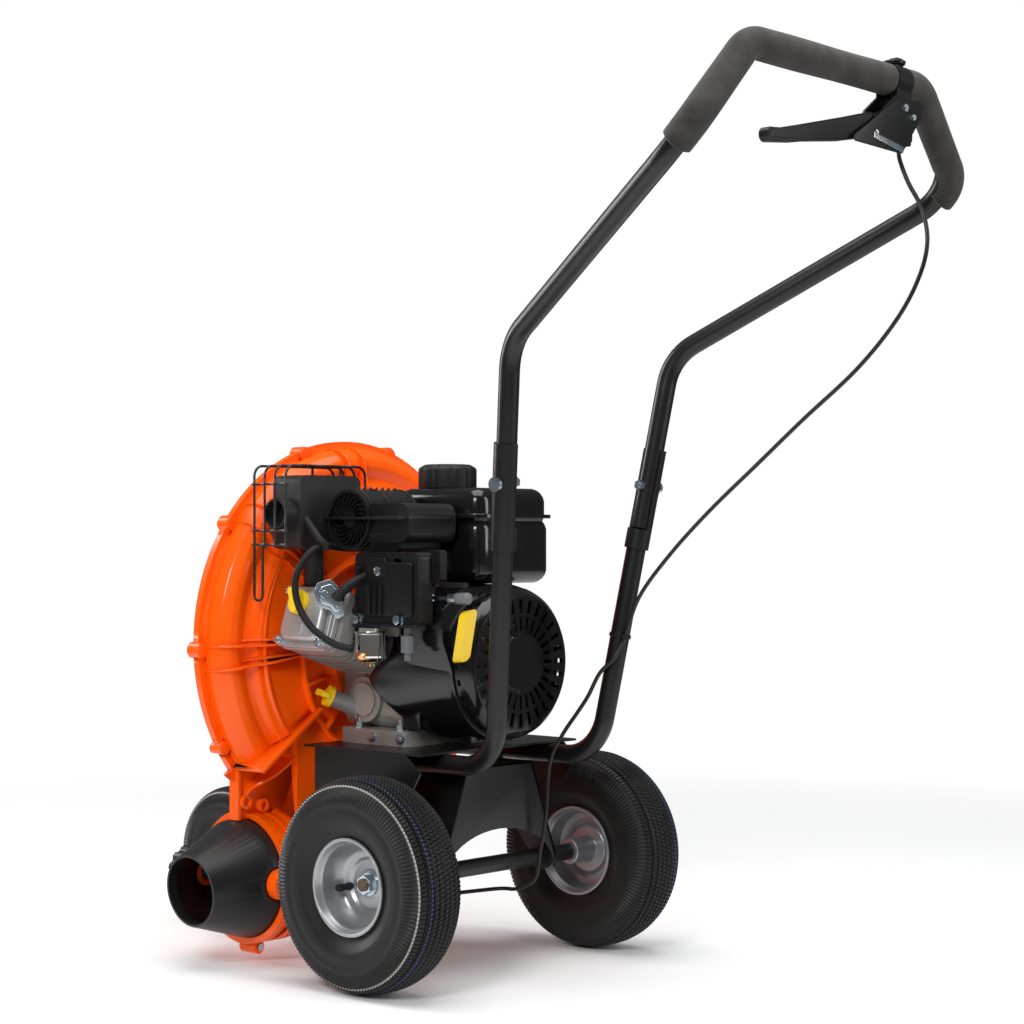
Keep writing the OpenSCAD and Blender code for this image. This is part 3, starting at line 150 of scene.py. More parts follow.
def settled(name, mesh, crease=35):
    """Merges points that fall together, turns the faces outwards and shades smooth below the crease angle."""
    work = bmesh.new()
    work.from_mesh(mesh)
    bmesh.ops.remove_doubles(work, verts=work.verts, dist=2e-6)
    bmesh.ops.dissolve_degenerate(work, edges=work.edges, dist=1e-7)
    bmesh.ops.recalc_face_normals(work, faces=work.faces)
    work.to_mesh(mesh)
    work.free()
    mesh.shade_smooth()
    mesh.set_sharp_from_angle(angle=math.radians(crease))
    piece = bpy.data.objects.new(name, mesh)
    bpy.context.scene.collection.objects.link(piece)
    return piece


print("grids of points become closed skins")

# %% [markdown]
# Three ways to lay out such a grid cover most of a machine: a profile turned on a lathe, a section
# carried along a bent path, and corners rounded off a polygon.

# %% Lathe, path and rounded corners


def unit(v):
    """A direction: the vector over its length."""
    v = np.asarray(v, float)
    return v / np.linalg.norm(v)


def cross_axes(axis):
    """Two directions square to an axis and to each other."""
    axis = unit(axis)
    first = unit(np.cross([0, 0, 1.0] if abs(axis[2]) < 0.9 else [0, 1.0, 0], axis))
    return first, np.cross(axis, first)


def turned(profile, origin, axis, around=96):
    """Lathe: point = origin + radius * (cos a, sin a) across the axis + height along it.
    The profile's rows are (radius, height)."""
    a, b = cross_axes(axis)
    angle = np.linspace(0, 2 * np.pi, around, endpoint=False)[:, None, None]
    profile = np.asarray(profile, float)
    radius, height = profile[None, :, 0, None], profile[None, :, 1, None]
    spoke = np.cos(angle) * a + np.sin(angle) * b
    return drawn(np.asarray(origin, float) + radius * spoke + height * unit(axis))


def soft_corners(points, radii, steps=5, closed=True):
    """Each corner is replaced by an arc that touches both its sides.
    The sides are cut back by r*tan(turn/2), and the arc's centre lies on the bisector."""
    points = np.asarray(points, float)
    n, made = len(points), []
    radii = np.broadcast_to(radii, n)
    for i in range(n):
        if not closed and i in (0, n - 1):
            made.append(points[i][None])
            continue
        p, before, after = points[i], points[i - 1], points[(i + 1) % n]
        u, v = unit(before - p), unit(after - p)
        turn = np.pi - np.arccos(np.clip(u @ v, -1, 1))
        room = 0.48 * min(np.linalg.norm(before - p), np.linalg.norm(after - p))
        cut = min(radii[i] * np.tan(turn / 2), room)
        if cut < 1e-4 or turn < 0.02:
            made.append(p[None])
            continue
        r = cut / np.tan(turn / 2)
        centre = p + unit(u + v) * r / np.cos(turn / 2)
        x, far = unit(p + u * cut - centre), p + v * cut - centre
        y = unit(far - (far @ x) * x)
        t = np.linspace(0, turn, steps + 1)[:, None]
        made.append(centre + r * (np.cos(t) * x + np.sin(t) * y))
    return np.concatenate(made)


def evenly(path, gap):
    """The same path with points about gap apart, measured along it."""
    path = np.asarray(path, float)
    run = np.concatenate([[0], np.cumsum(np.linalg.norm(np.diff(path, axis=0), axis=1))])
    at = np.linspace(0, run[-1], max(2, int(run[-1] / gap) + 1))
    return np.stack([np.interp(at, run, path[:, k]) for k in range(3)], 1)


def carried(path, section):
    """Sweep: at each station the flat section (n, 2), or one section for each, stands square to the path.
    The frame turns as little as it can from one station to the next."""
    path = np.asarray(path, float)
    way = np.gradient(path, axis=0)
    way /= np.linalg.norm(way, axis=1)[:, None]
    side = [cross_axes(way[0])[0]]
    for w in way[1:]:
        side.append(unit(side[-1] - (side[-1] @ w) * w))
    side = np.array(side)
    up = np.cross(way, side)
    section = np.broadcast_to(section, (len(path),) + np.shape(section)[-2:])
    return path[:, None] + section[..., :1] * side[:, None] + section[..., 1:] * up[:, None]


def circle(radius, sides=24):
    """Points (r cos a, r sin a) round a circle."""
    a = np.linspace(0, 2 * np.pi, sides, endpoint=False)
    return radius * np.stack([np.cos(a), np.sin(a)], 1)


def capped(grid):
    """Closes both ends of a sweep by shrinking its first and last ring to their middles."""
    ends = [np.broadcast_to(ring.mean(1, keepdims=True), ring.shape) for ring in (grid[:1], grid[-1:])]
    return np.concatenate([ends[0], grid, ends[1]])


def lathed(name, profile, radii, foot, axis, around, steps=4):
    """A turned piece with rounded corners, whose profile starts and ends on the axis."""
    return skin(name, turned(soft_corners(profile, radii, steps, False), foot, axis, around), True, False)


print("lathe, sweep and rounded corners are ready")

# %% [markdown]
# ## The control cable
# A steel wire in a black jacket runs from the hand lever to the nozzle. Both ends go into the machine, so
# its length is fixed: it leaves the lever's stop straight down, hangs in one long curve outside the right
# leg, is held to that leg by a tie, and passes under the engine's base to the lug beside the nozzle. It is
# a tube carried along a smooth curve through the drawn points.

# %% The cable's route
CABLE_POINTS = np.array([
    [-130, 544, 1021.7], [-130, 545, 1008], [-131, 556, 980], [-130, 576, 945], [-128, 584, 905],
    [-126, 572, 862], [-124, 542, 815], [-122, 490, 762], [-120, 415, 705], [-119, 345, 650],
    [-118, 275, 595], [-115, 215, 540], [-111, 168, 485], [-108, 145.5, 431], [-97, 137, 405],
    [-91, 118, 385], [-92, 98, 355], [-92, 82, 335], [-80, 62, 300], [-76, 45, 262],
    [-72, 42, 195], [-67, 36, 145], [-62, 32, 112], [-52, 8, 98],
    [-40, -20, 96], [40, -92, 86],
    [110, -148, 80], [150, -165, 82], [171.5, -166, 83]])
CABLE_D = 5.2


def smooth_through(points, steps):
    """Curve through every point: b + (c-a)t/2 + (2a-5b+4c-d)t^2/2 + (3b-a-3c+d)t^3/2 between b and c."""
    ends = np.concatenate([points[:1], points, points[-1:]])
    a, b, c, d = ends[:-3, None], ends[1:-2, None], ends[2:-1, None], ends[3:, None]
    t = (np.arange(steps) / steps)[None, :, None]
    curve = 0.5 * (2 * b + (c - a) * t + (2 * a - 5 * b + 4 * c - d) * t ** 2
                   + (3 * b - a - 3 * c + d) * t ** 3)
    return np.concatenate([curve.reshape(-1, 3), points[-1:]])


cable_line = smooth_through(CABLE_POINTS, 8)
cable = skin("control_cable_jacket", drawn(capped(carried(cable_line, circle(CABLE_D / 2, 16)))), False, True)
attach(cable, "frame")
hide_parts("control_cable")

# %% [markdown]
# ## Effects that many finishes share
# Real surfaces are never one even colour. Three effects do most of the work, and each is a node group
# that is built once: a fine grain, worn edges, and dust that settles on what faces up. They read the
# object's own coordinates, so a pattern stays where it is when the view changes.

# %% A helper for node groups


def effect(name, inputs, outputs):
    """An empty shader node group with named number inputs and outputs."""
    group = bpy.data.node_groups.new(name, "ShaderNodeTree")
    for key, value in inputs.items():
        socket = group.interface.new_socket(key, in_out="INPUT", socket_type="NodeSocketFloat")
        socket.default_value = value
    for key in outputs:
        group.interface.new_socket(key, in_out="OUTPUT", socket_type="NodeSocketFloat")
    return group, group.nodes.new("NodeGroupInput"), group.nodes.new("NodeGroupOutput")


def fed(tree, socket, value):
    """Links a socket into an input, or sets the input to a plain number."""
    if isinstance(value, bpy.types.NodeSocket):
        tree.links.new(value, socket)
    else:
        socket.default_value = value


def math_node(tree, kind, *values, clamp=False):
    """One Math node. The values are sockets or plain numbers."""
    made = tree.nodes.new("ShaderNodeMath")
    made.operation, made.use_clamp = kind, clamp
    for socket, value in zip(made.inputs, values):
        fed(tree, socket, value)
    return made.outputs[0]


def noise_node(tree, scale, detail):
    """A noise on object coordinates. scale is a socket in waves per metre."""
    made = tree.nodes.new("ShaderNodeTexNoise")
    made.inputs["Detail"].default_value = detail
    tree.links.new(tree.nodes.new("ShaderNodeTexCoord").outputs["Object"], made.inputs["Vector"])
    tree.links.new(scale, made.inputs["Scale"])
    return made.outputs[0]


# %% Grain
grain_group, inside, outside = effect("fine_grain", {"Scale": 900, "Blotch Scale": 14},
                                      ["Height", "Blotches"])
grain_group.links.new(noise_node(grain_group, inside.outputs["Scale"], 2), outside.inputs["Height"])
blotches = noise_node(grain_group, inside.outputs["Blotch Scale"], 4)
spread = math_node(grain_group, "SUBTRACT", blotches, 0.5)
stronger = math_node(grain_group, "MULTIPLY_ADD", spread, 1.6, 0.5)
grain_group.links.new(stronger, outside.inputs["Blotches"])
print("grain has", [s.name for s in grain_group.interface.items_tree])

# %% Worn edges
wear_group, inside, outside = effect("worn_edges", {"Amount": 0.5, "Scale": 60}, ["Mask"])
sharpness = wear_group.nodes.new("ShaderNodeNewGeometry").outputs["Pointiness"]
past_flat = math_node(wear_group, "SUBTRACT", sharpness, 0.53)
edges = math_node(wear_group, "MULTIPLY", past_flat, 9, clamp=True)
patchy = math_node(wear_group, "MULTIPLY", edges, noise_node(wear_group, inside.outputs["Scale"], 4))
worn_mask = math_node(wear_group, "MULTIPLY", patchy, inside.outputs["Amount"], clamp=True)
wear_group.links.new(worn_mask, outside.inputs["Mask"])
print("worn edges ready")

# %% Settled dust
dust_group, inside, outside = effect("settled_dust", {"Amount": 0.1, "Scale": 22}, ["Mask"])
facing = dust_group.nodes.new("ShaderNodeSeparateXYZ")
dust_group.links.new(dust_group.nodes.new("ShaderNodeNewGeometry").outputs["Normal"], facing.inputs[0])
past_level = math_node(dust_group, "SUBTRACT", facing.outputs[2], 0.2)
upwards = math_node(dust_group, "MULTIPLY", past_level, 1.2, clamp=True)
speckled = math_node(dust_group, "MULTIPLY", upwards, noise_node(dust_group, inside.outputs["Scale"], 5))
dust_mask = math_node(dust_group, "MULTIPLY", speckled, inside.outputs["Amount"], clamp=True)
dust_group.links.new(dust_mask, outside.inputs["Mask"])
print("dust ready")

# %% [markdown]
# ## Finishes
# One function lays a finish together: a base colour with soft blotches, a roughness that varies with the
# same blotches, a grain in the Bump node, and where it suits, wear that shows what is under the paint,
# and dust. The plain numbers sit on the shader's own sockets.

# %% Lay a finish together


def mixed(tree, mask, low, high):
    """Colour that goes from low to high as mask goes from 0 to 1. low and high are sockets or colours."""
    made = tree.nodes.new("ShaderNodeMix")
    made.data_type = "RGBA"
    tree.links.new(mask, made.inputs["Factor"])
    for socket, value in ((made.inputs[6], low), (made.inputs[7], high)):
        fed(tree, socket, value if isinstance(value, bpy.types.NodeSocket) else (*value, 1))
    return made.outputs[2]


def ranged(tree, value, low, high):
    """A number that goes from low to high as value goes from 0 to 1."""
    made = tree.nodes.new("ShaderNodeMapRange")
    tree.links.new(value, made.inputs["Value"])
    made.inputs["To Min"].default_value, made.inputs["To Max"].default_value = low, high
    return made.outputs[0]


def placed_effect(tree, group, **values):
    """A node group in a material, with its own values on its inputs."""
    made = tree.nodes.new("ShaderNodeGroup")
    made.node_tree = group
    for key, value in values.items():
        made.inputs[key.replace("_", " ")].default_value = value
    return made


def finish(name, colour, rough, metal=0.0, shift=0.12, grain=900, bump=0.00002, blotch=14,
           wear=None, dust=0.0, dust_colour=(0.30, 0.27, 0.23), **sockets):
    """A material. shift is how far the colour strays, bump the grain's height in metres,
    and wear an amount and a colour."""
    material = bpy.data.materials.new(name)
    material.use_nodes = True
    tree = material.node_tree
    shader = tree.nodes["Principled BSDF"]
    effects = placed_effect(tree, grain_group, Scale=grain, Blotch_Scale=blotch)
    colour = np.array(colour, float)
    darker, lighter = colour * (1 - shift), np.minimum(colour * (1 + shift), 1)
    shade = mixed(tree, effects.outputs["Blotches"], darker, lighter)
    roughness = ranged(tree, effects.outputs["Blotches"], rough * 0.88, min(1, rough * 1.14))
    if wear:
        worn = placed_effect(tree, wear_group, Amount=wear[0]).outputs["Mask"]
        shade = mixed(tree, worn, shade, wear[1])
    if dust:
        dusty = placed_effect(tree, dust_group, Amount=dust).outputs["Mask"]
        shade = mixed(tree, dusty, shade, dust_colour)
    tree.links.new(shade, shader.inputs["Base Color"])
    tree.links.new(roughness, shader.inputs["Roughness"])
    shader.inputs["Metallic"].default_value = metal
    for key, value in sockets.items():
        shader.inputs[key.replace("_", " ")].default_value = value
    relief = tree.nodes.new("ShaderNodeBump")
    relief.inputs["Distance"].default_value = bump
    tree.links.new(effects.outputs["Height"], relief.inputs["Height"])
    tree.links.new(relief.outputs["Normal"], shader.inputs["Normal"])
    return material


# %% The machine's finishes
ORANGE = finish("orange_moulding", (1.0, 0.105, 0.0015), 0.20, shift=0.03, grain=500, bump=0.00002,
                Specular_IOR_Level=0.3)
POWDER = finish("black_powder_coat", (0.006, 0.006, 0.006), 0.33, shift=0.25, grain=1400, bump=0.00004,
                wear=(0.2, (0.05, 0.05, 0.05)), dust=0.02, Specular_IOR_Level=0.4)
SATIN = finish("black_satin_plastic", (0.007, 0.007, 0.0075), 0.36, shift=0.2, grain=1800, bump=0.00003,
               wear=(0.25, (0.06, 0.06, 0.065)), dust=0.04, Specular_IOR_Level=0.3)
GLOSSY = finish("black_gloss_paint", (0.005, 0.005, 0.0055), 0.15, shift=0.2, grain=350, bump=0.00001,
                dust=0.02, Specular_IOR_Level=0.5)
COARSE = finish("black_coarse_plastic", (0.011, 0.011, 0.011), 0.50, shift=0.2, grain=2600, bump=0.00005,
                dust=0.05, Specular_IOR_Level=0.25)
NOZZLE = finish("black_nozzle_plastic", (0.010, 0.010, 0.011), 0.36, shift=0.2, grain=1500, bump=0.00003,
                dust=0.03, Specular_IOR_Level=0.35)
RUBBER = finish("hose_rubber", (0.009, 0.009, 0.0095), 0.55, shift=0.2, grain=1300, bump=0.00003, dust=0.05,
                Specular_IOR_Level=0.25)
JACKET = finish("cable_jacket", (0.012, 0.012, 0.013), 0.34, shift=0.15, grain=800, bump=0.00001,
                Specular_IOR_Level=0.35)
FOAM = finish("foam_grip", (0.036, 0.032, 0.030), 0.95, shift=0.6, grain=420, bump=0.0004, blotch=40,
              Sheen_Weight=0.12, Sheen_Roughness=0.6, Specular_IOR_Level=0.2)
PAINTED_RIM = finish("silver_rim_paint", (0.36, 0.375, 0.39), 0.33, metal=0.7, shift=0.08, grain=2500,
                     bump=0.00001, dust=0.08)
CASTING = finish("cast_aluminium", (0.36, 0.352, 0.336), 0.46, metal=0.55, shift=0.2, grain=1100, bump=0.0001,
                 blotch=30, wear=(0.4, (0.5, 0.49, 0.47)), dust=0.03)
DIE_CAST = finish("bright_die_casting", (0.46, 0.46, 0.46), 0.42, metal=0.6, shift=0.14, grain=900,
                  bump=0.00008, blotch=30, wear=(0.5, (0.85, 0.85, 0.85)))
ZINC = finish("zinc_plated_steel", (0.56, 0.63, 0.68), 0.24, metal=1.0, shift=0.14, grain=600, bump=0.00001,
              blotch=90)
STEEL = finish("bare_steel", (0.34, 0.32, 0.30), 0.36, metal=1.0, shift=0.2, grain=700, bump=0.00002,
               blotch=120)
CHROME = finish("chromed_bowl", (0.83, 0.78, 0.72), 0.07, metal=1.0, shift=0.03, grain=80, bump=0.000005)
BRASS = finish("brass", (0.72, 0.47, 0.20), 0.25, metal=1.0, shift=0.1, grain=500, bump=0.00001)
YELLOW = finish("yellow_moulding", (0.93, 0.62, 0.010), 0.34, shift=0.06, grain=1200, bump=0.00002)
GREY = finish("grey_moulding", (0.13, 0.135, 0.14), 0.42, shift=0.12, grain=1500, bump=0.00003)
HOT_BLACK = finish("heat_proof_black", (0.017, 0.016, 0.016), 0.50, shift=0.3, grain=1500, bump=0.00006,
                   blotch=35, wear=(0.3, (0.10, 0.07, 0.05)), dust=0.05, Specular_IOR_Level=0.3)
WIRE = finish("black_wire", (0.012, 0.012, 0.012), 0.33, shift=0.2, grain=1500, bump=0.00001)
cable.data.materials.append(JACKET)
RUSTY = finish("browned_steel", (0.16, 0.11, 0.08), 0.5, metal=0.8, shift=0.3, grain=900, bump=0.00005,
               blotch=160)
print(len(bpy.data.materials), "materials")

# %% [markdown]
# ## Pneumatic tires
# A barrow tire has a round section, a band of saw-toothed ribs for grip, a shoulder of fine radial ribs,
# and a smooth flank that dips towards the rim. Modelling each block by hand would never end. Instead the
# whole tire is one grid: the section runs across, the angle runs round, and a depth is cut inwards along
# the section's normal wherever a groove, a tooth or a shoulder rib asks for it.

# %% Section of a tire


def tire_section(radius, width, seat, tread_gap, flank_gap):
    """Radius = middle + half the height * |cos|^0.62, offset = half the width * |sin|^0.72, signs kept.
    Points lie close together across the tread and further apart on the flanks."""
    past_half, fine, window = 104, 0.25, 17
    a = np.radians(np.linspace(-past_half, past_half, 1601))
    middle, half = (seat + radius) / 2, (radius - seat) / 2
    r = middle + half * np.sign(np.cos(a)) * np.abs(np.cos(a)) ** 0.62
    x = width / 2 * np.sign(np.sin(a)) * np.abs(np.sin(a)) ** 0.72
    r = np.concatenate([[seat], r, [seat]])
    x = np.concatenate([[-0.34 * width], x, [0.34 * width]])
    run = np.concatenate([[0], np.cumsum(np.hypot(np.diff(r), np.diff(x)))])
    dense = np.arange(0, run[-1], fine)
    r, x = np.interp(dense, run, r), np.interp(dense, run, x)
    soft = np.ones(window) / window
    r[20:-20] = np.convolve(r, soft, "same")[20:-20]
    x[20:-20] = np.convolve(x, soft, "same")[20:-20]
    on_tread = (np.abs(x) < 0.43 * width) & (r > middle)
    step = np.where(on_tread, fine / tread_gap, fine / flank_gap)
    count = np.cumsum(step)
    at = np.interp(np.arange(0, count[-1]), count, np.arange(len(count)))
    return np.interp(at, np.arange(len(r)), r), np.interp(at, np.arange(len(x)), x)


def tire(name, centre, outside, radius, width, seat, teeth, grooves, tread_gap, flank_gap):
    """Depth below the smooth section = zigzag grooves + tooth gaps + shoulder ribs + flank dip.
    A zigzag groove k lies where |x - x_k - reach * saw(angle * teeth)| is small."""
    r, x = tire_section(radius, width, seat, tread_gap, flank_gap)
    slope = np.gradient(np.stack([r, x], 1), axis=0)
    slope /= np.linalg.norm(slope, axis=1)[:, None]
    out_r, out_x = -slope[:, 1], slope[:, 0]
    flip = np.sign(out_r[len(r) // 2])
    out_r, out_x = out_r * flip, out_x * flip
    turn = np.linspace(0, 2 * np.pi, teeth * 6, endpoint=False)[:, None]
    phase = turn * teeth / (2 * np.pi)
    saw = phase % 1 - 0.5
    half_tread = 0.40 * width
    share = np.clip((np.abs(x) - half_tread) / 2.0, 0, 1)
    tread = np.where(r > (seat + radius) / 2, 1 - share, 0)
    groove_depth, notch_depth, zigzag, flank_top = 3.4, 1.7, 2.6, 0.60
    depth = np.zeros((len(turn), len(r)))
    lines = np.linspace(-half_tread, half_tread, grooves + 2)[1:-1]
    for k, line in enumerate(lines):
        lean = saw if k % 2 else ((phase + 0.5) % 1 - 0.5)
        away = np.abs(x[None, :] - line - zigzag * lean)
        depth = np.maximum(depth, groove_depth * np.clip(1.55 - away / 1.25, 0, 1))
    rib = np.floor((x + half_tread) / (2 * half_tread) * (grooves + 1))
    notch = ((phase + 0.5 * (rib[None, :] % 2)) % 1) < 0.17
    depth = np.maximum(depth, notch_depth * notch) * tread
    high = (r - seat) / (radius - seat)
    band = np.clip((high - flank_top) / 0.06, 0, 1) * np.clip((1 - tread) * 3, 0, 1)
    depth += band * (0.75 + 0.75 * np.cos(2 * np.pi * phase))
    depth += 1.3 * np.clip((flank_top - high) / 0.05, 0, 1) * np.clip((high - 0.05) / 0.1, 0, 1)
    for ring in (0.42, 0.20):
        depth -= 0.5 * np.exp(-((high - ring) / 0.012) ** 2)
    rr, xx = r - depth * out_r, x - depth * out_x
    points = np.stack([outside * xx, rr * np.sin(turn), rr * np.cos(turn)], -1) + np.asarray(centre, float)
    outer = r > (seat + radius) / 2
    pale = np.exp(-((x - half_tread - 1.2) / 0.55) ** 2) * outer
    dash = (phase % 1 < 0.6) * np.exp(-((x - 0.235 * width) / 0.9) ** 2) * outer
    # groove is the cut's depth, used below to paint shade into the grooves
    marks = {"pale_line": np.broadcast_to(pale, depth.shape), "blue_line": dash * (depth < 1),
             "groove": np.clip(depth / groove_depth, 0, 1)}
    return skin(name, drawn(points), True, True, marks, 40)


# %% [markdown]
# Rubber is a dark grey with a dull sheen. The grooves are painted darker by their depth, which is painted
# shade, a thin pale line shows where the two halves of the mould met at the outer shoulder, and a dashed
# chalk line from the factory runs in one groove. These three come from values stored at the mesh's own
# points.

# %% Rubber of the tires
TIRE_RUBBER = finish("tire_rubber", (0.013, 0.0125, 0.013), 0.46, shift=0.18, grain=1500, bump=0.00005,
                     blotch=18, dust=0.02, Specular_IOR_Level=0.25)


def painted(material, mark, colour, strength):
    """Lays a colour over the base colour wherever the mesh's own attribute is high."""
    tree = material.node_tree
    shader = tree.nodes["Principled BSDF"]
    read = tree.nodes.new("ShaderNodeAttribute")
    read.attribute_name = mark
    mask = math_node(tree, "MULTIPLY", read.outputs["Fac"], strength, clamp=True)
    before = shader.inputs["Base Color"].links[0].from_socket
    tree.links.new(mixed(tree, mask, before, colour), shader.inputs["Base Color"])


# Painted shade: the grooves are darkened by their depth
painted(TIRE_RUBBER, "groove", (0.003, 0.003, 0.003), 0.8)
painted(TIRE_RUBBER, "blue_line", (0.03, 0.10, 0.45), 0.8)
painted(TIRE_RUBBER, "pale_line", (0.62, 0.60, 0.55), 0.9)

# %% Put a piece on the machine
BODY_OF = {n: body for body, members in frame["record"]["behaviour"]["bodies"].items() for n in members}
SLOT_OF = {s["node"]: s["material_slot"] for s in frame["record"]["subparts"]}


def fitted(piece, material, body, slot, *replaced):
    """Gives a piece its finish and its body to ride on, and hides the solids it stands for. slot is not used.
    """
    piece.data.materials.clear()
    piece.data.materials.append(material)
    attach(piece, body)
    if replaced:
        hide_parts(*replaced)
    return piece


# %% Three tires
for side, way in (("left", 1), ("right", -1)):
    made = tire("tire_" + side + "_tread", (WHEEL_X * way, 0, REAR_R), way, radius=REAR_R, width=86,
                seat=56.3, teeth=148, grooves=7, tread_gap=1.2, flank_gap=3.2)
    fitted(made, TIRE_RUBBER, "wheel_" + side, "tire", "tire_" + side)
made = tire("tire_front_tread", FRONT_AXLE, 1, radius=FRONT_R, width=60,
            seat=41.3, teeth=120, grooves=5, tread_gap=1.2, flank_gap=3.2)
fitted(made, TIRE_RUBBER, "wheel_front", "tire", "tire_front")

# %% [markdown]
# ## Pressed steel rims
# A rim is pressed from sheet and painted silver: a curled lip, a deep bowl and a flat ring round the hub.
# It is a body of revolution, so one closed profile turned on a lathe makes it, with every fold rounded
# as a press would leave it.

# %% Rims


def rim_profile(flange, half, hub, hub_out, hub_in, bore):
    """Closed section (radius, offset outwards) of lip, bowl, disc, hub and the seats of the tire's beads."""
    seat = flange - 5
    return soft_corners([
        (flange, half - 3), (flange - 0.5, half), (flange - 4, half), (seat - 2, half - 6),
        (seat - 4, half - 9), (seat - 6, 12), (seat - 14, 0.5), (hub + 17, -1), (hub + 13, -5),
        (hub + 5, -5), (hub + 2, hub_out - 1), (hub - 1, hub_out), (bore, hub_out), (bore, hub_in),
        (hub - 1, hub_in), (hub, hub_in + 1), (hub, -9), (hub + 14, -9), (hub + 18, -4.5), (seat - 13, -3),
        (seat - 6, -6), (seat - 4, 9 - half), (seat - 2, 6 - half), (flange - 4, -half),
        (flange - 0.5, -half), (flange, 3 - half), (seat, 6 - half), (seat - 1, 9 - half),
        (seat - 1, half - 9), (seat, half - 6)],
        [1, 0.8, 1.5, 3, 3, 26, 12, 3, 3, 3, 2, 0.6, 0.3, 0.3, 0.6,
         1, 2, 3, 3, 6, 2, 2, 3, 1.5, 0.8, 1, 2, 2, 2, 2], 5)


AXLE_BORE_R = 7.95
profile = rim_profile(flange=61, half=36, hub=17, hub_out=-4, hub_in=-48, bore=AXLE_BORE_R)
for side, way in (("left", 1), ("right", -1)):
    pressing = turned(profile, (WHEEL_X * way, 0, REAR_R), (way, 0, 0), 128)
    made = skin("rim_" + side + "_pressing", pressing, crease=30)
    fitted(made, PAINTED_RIM, "wheel_" + side, "rim", "rim_" + side)
front_rim = soft_corners([
    (46, 22), (45.6, 25), (42, 25), (39, 20), (36, 17), (35, 8), (27, 5), (20, 6), (14, 12), (14, 34),
    (AXLE_BORE_R, 34), (AXLE_BORE_R, -34), (14, -34), (14, -6), (20, -2), (27, -3), (38, -4), (38, -17),
    (42, -25), (45.6, -25), (46, -22), (41, -19), (40, -16), (40, 16), (41, 19)], 1.6, 4)
made = skin("rim_front_pressing", turned(front_rim, FRONT_AXLE, (1, 0, 0), 96), crease=30)
fitted(made, PAINTED_RIM, "wheel_front", "rim", "rim_front")
print("three rims pressed")

# %% [markdown]
# ## Valves
# Each rear rim has a short rubber valve with a black cap that pokes through the bowl. The tire solid
# carries its stem. The cap is a small turned knob on the same line.

# %% Valve caps
VALVE_ANGLE, VALVE_REACH = math.radians(80), 34.5
VALVE = [(0, -14), (5, -14), (5, 2), (3.9, 3), (3.9, 8), (4.8, 9), (4.9, 17), (3.6, 20), (0, 20.6)]
for side, way in (("left", 1), ("right", -1)):
    foot = (WHEEL_X * way, -VALVE_REACH * math.sin(VALVE_ANGLE), REAR_R - VALVE_REACH * math.cos(VALVE_ANGLE))
    made = lathed("valve_" + side, VALVE, [0, 1, 1, 0.5, 0.5, 1, 3, 3, 0], foot, (way, 0, 0), 32)
    fitted(made, RUBBER, "wheel_" + side, "tire")
print("valves in")

# %% [markdown]
# ## Foam grips
# The grips are thick sleeves of closed-cell foam, pushed over the tube while wet with soap. They bulge a
# little on the outside of each bend and wrinkle on the inside, and their cut ends are slightly rounded.
# A ring section is carried along the tube's bent centre line, and the radius follows the bends.

# %% The handle's centre line
FIRST_BEND = np.array([156, 185, 795.0])
WIDE_BEND, CORNER = np.array([273, 537, 988.0]), np.array([171, 544, 1098.0])
LEVER_X, BAR_Y, BAR_Z = -118, 544, 1098
CLAMP_HALF, GRIP_GAP = 15.3, 1.6
OTHER_SIDE = np.array([-1, 1, 1])


def foam(name, corners, radii, cut_first, cut_last):
    """Foam radius = 18.25 + 0.3 * slow swell. Where the path bends, small wrinkles pull the inner side in.
    cut_first and cut_last shorten the sleeve at its ends, in mm."""
    path = evenly(soft_corners(corners, radii, 24, False), GRIP_GAP)
    path = path[int(cut_first / GRIP_GAP):len(path) - int(cut_last / GRIP_GAP)]
    run = np.concatenate([[0], np.cumsum(np.linalg.norm(np.diff(path, axis=0), axis=1))])
    way = np.gradient(path, axis=0)
    way /= np.linalg.norm(way, axis=1)[:, None]
    bend = np.gradient(way, axis=0) / np.gradient(run)[:, None]
    rounded = 2.4
    into_end = rounded - np.minimum(np.minimum(run, run[-1] - run), rounded)
    grown = 18.25 + 0.3 * np.sin(run / 31.0) - (rounded - np.sqrt(rounded ** 2 - into_end ** 2))
    outer = carried(path, circle(1, 56))
    spoke = outer - path[:, None]
    inward = np.clip((spoke * bend[:, None]).sum(-1) * 60, 0, 1)
    wrinkle = inward * (0.5 + 0.7 * np.sin(run / 2.6)[:, None] ** 2)
    outer = path[:, None] + spoke * (grown[:, None] - wrinkle)[..., None]
    inner = path[:, None] + spoke * 12.9
    shell = np.concatenate([outer, inner[::-1]])
    return skin(name, drawn(shell), True, True, crease=60)


down_the_leg = WIDE_BEND - unit(WIDE_BEND - FIRST_BEND) * 74
left_corners = [down_the_leg, WIDE_BEND, CORNER, [LEVER_X + CLAMP_HALF, BAR_Y, BAR_Z]]
right_corners = [[LEVER_X - CLAMP_HALF, BAR_Y, BAR_Z]]
right_corners += [p * OTHER_SIDE for p in (CORNER, WIDE_BEND, down_the_leg)]
fitted(foam("foam_left_sleeve", left_corners, [0, 65, 42, 0], 54, 0), FOAM, "frame", "foam", "foam_left")
fitted(foam("foam_right_sleeve", right_corners, [0, 42, 65, 0], 0, 50), FOAM, "frame", "foam", "foam_right")
print("foam grips on")

# %% [markdown]
# ## The fan housing's two halves
# Both halves are blow-moulded: the rear one has a flat lip, a rounded outer ridge, a shallow valley and a
# second ridge before its flat face, and the front one tapers away behind the lip. The solids are simpler
# and a little wider at the lower left, so their copies are first drawn in to the true outline. Then the
# ridged band, which needs a finer surface, is carried along the scroll's three arcs over the copy.

# %% Draw the scroll in to its outline
# Each arc of the scroll is its middle (x, z), its radius and the degrees where it starts and ends
SPLIT_Y = -262.0
ARCS = [((-2.0, 423.0), 260.0, -38.0, 90.0), ((-2.0, 438.0), 245.0, 90.0, 180.0),
        ((139.0, 438.0), 386.0, 180.0, 270.0)]
SOLID_LEFT_Z, DRAWN_IN = 417.0, 6.0


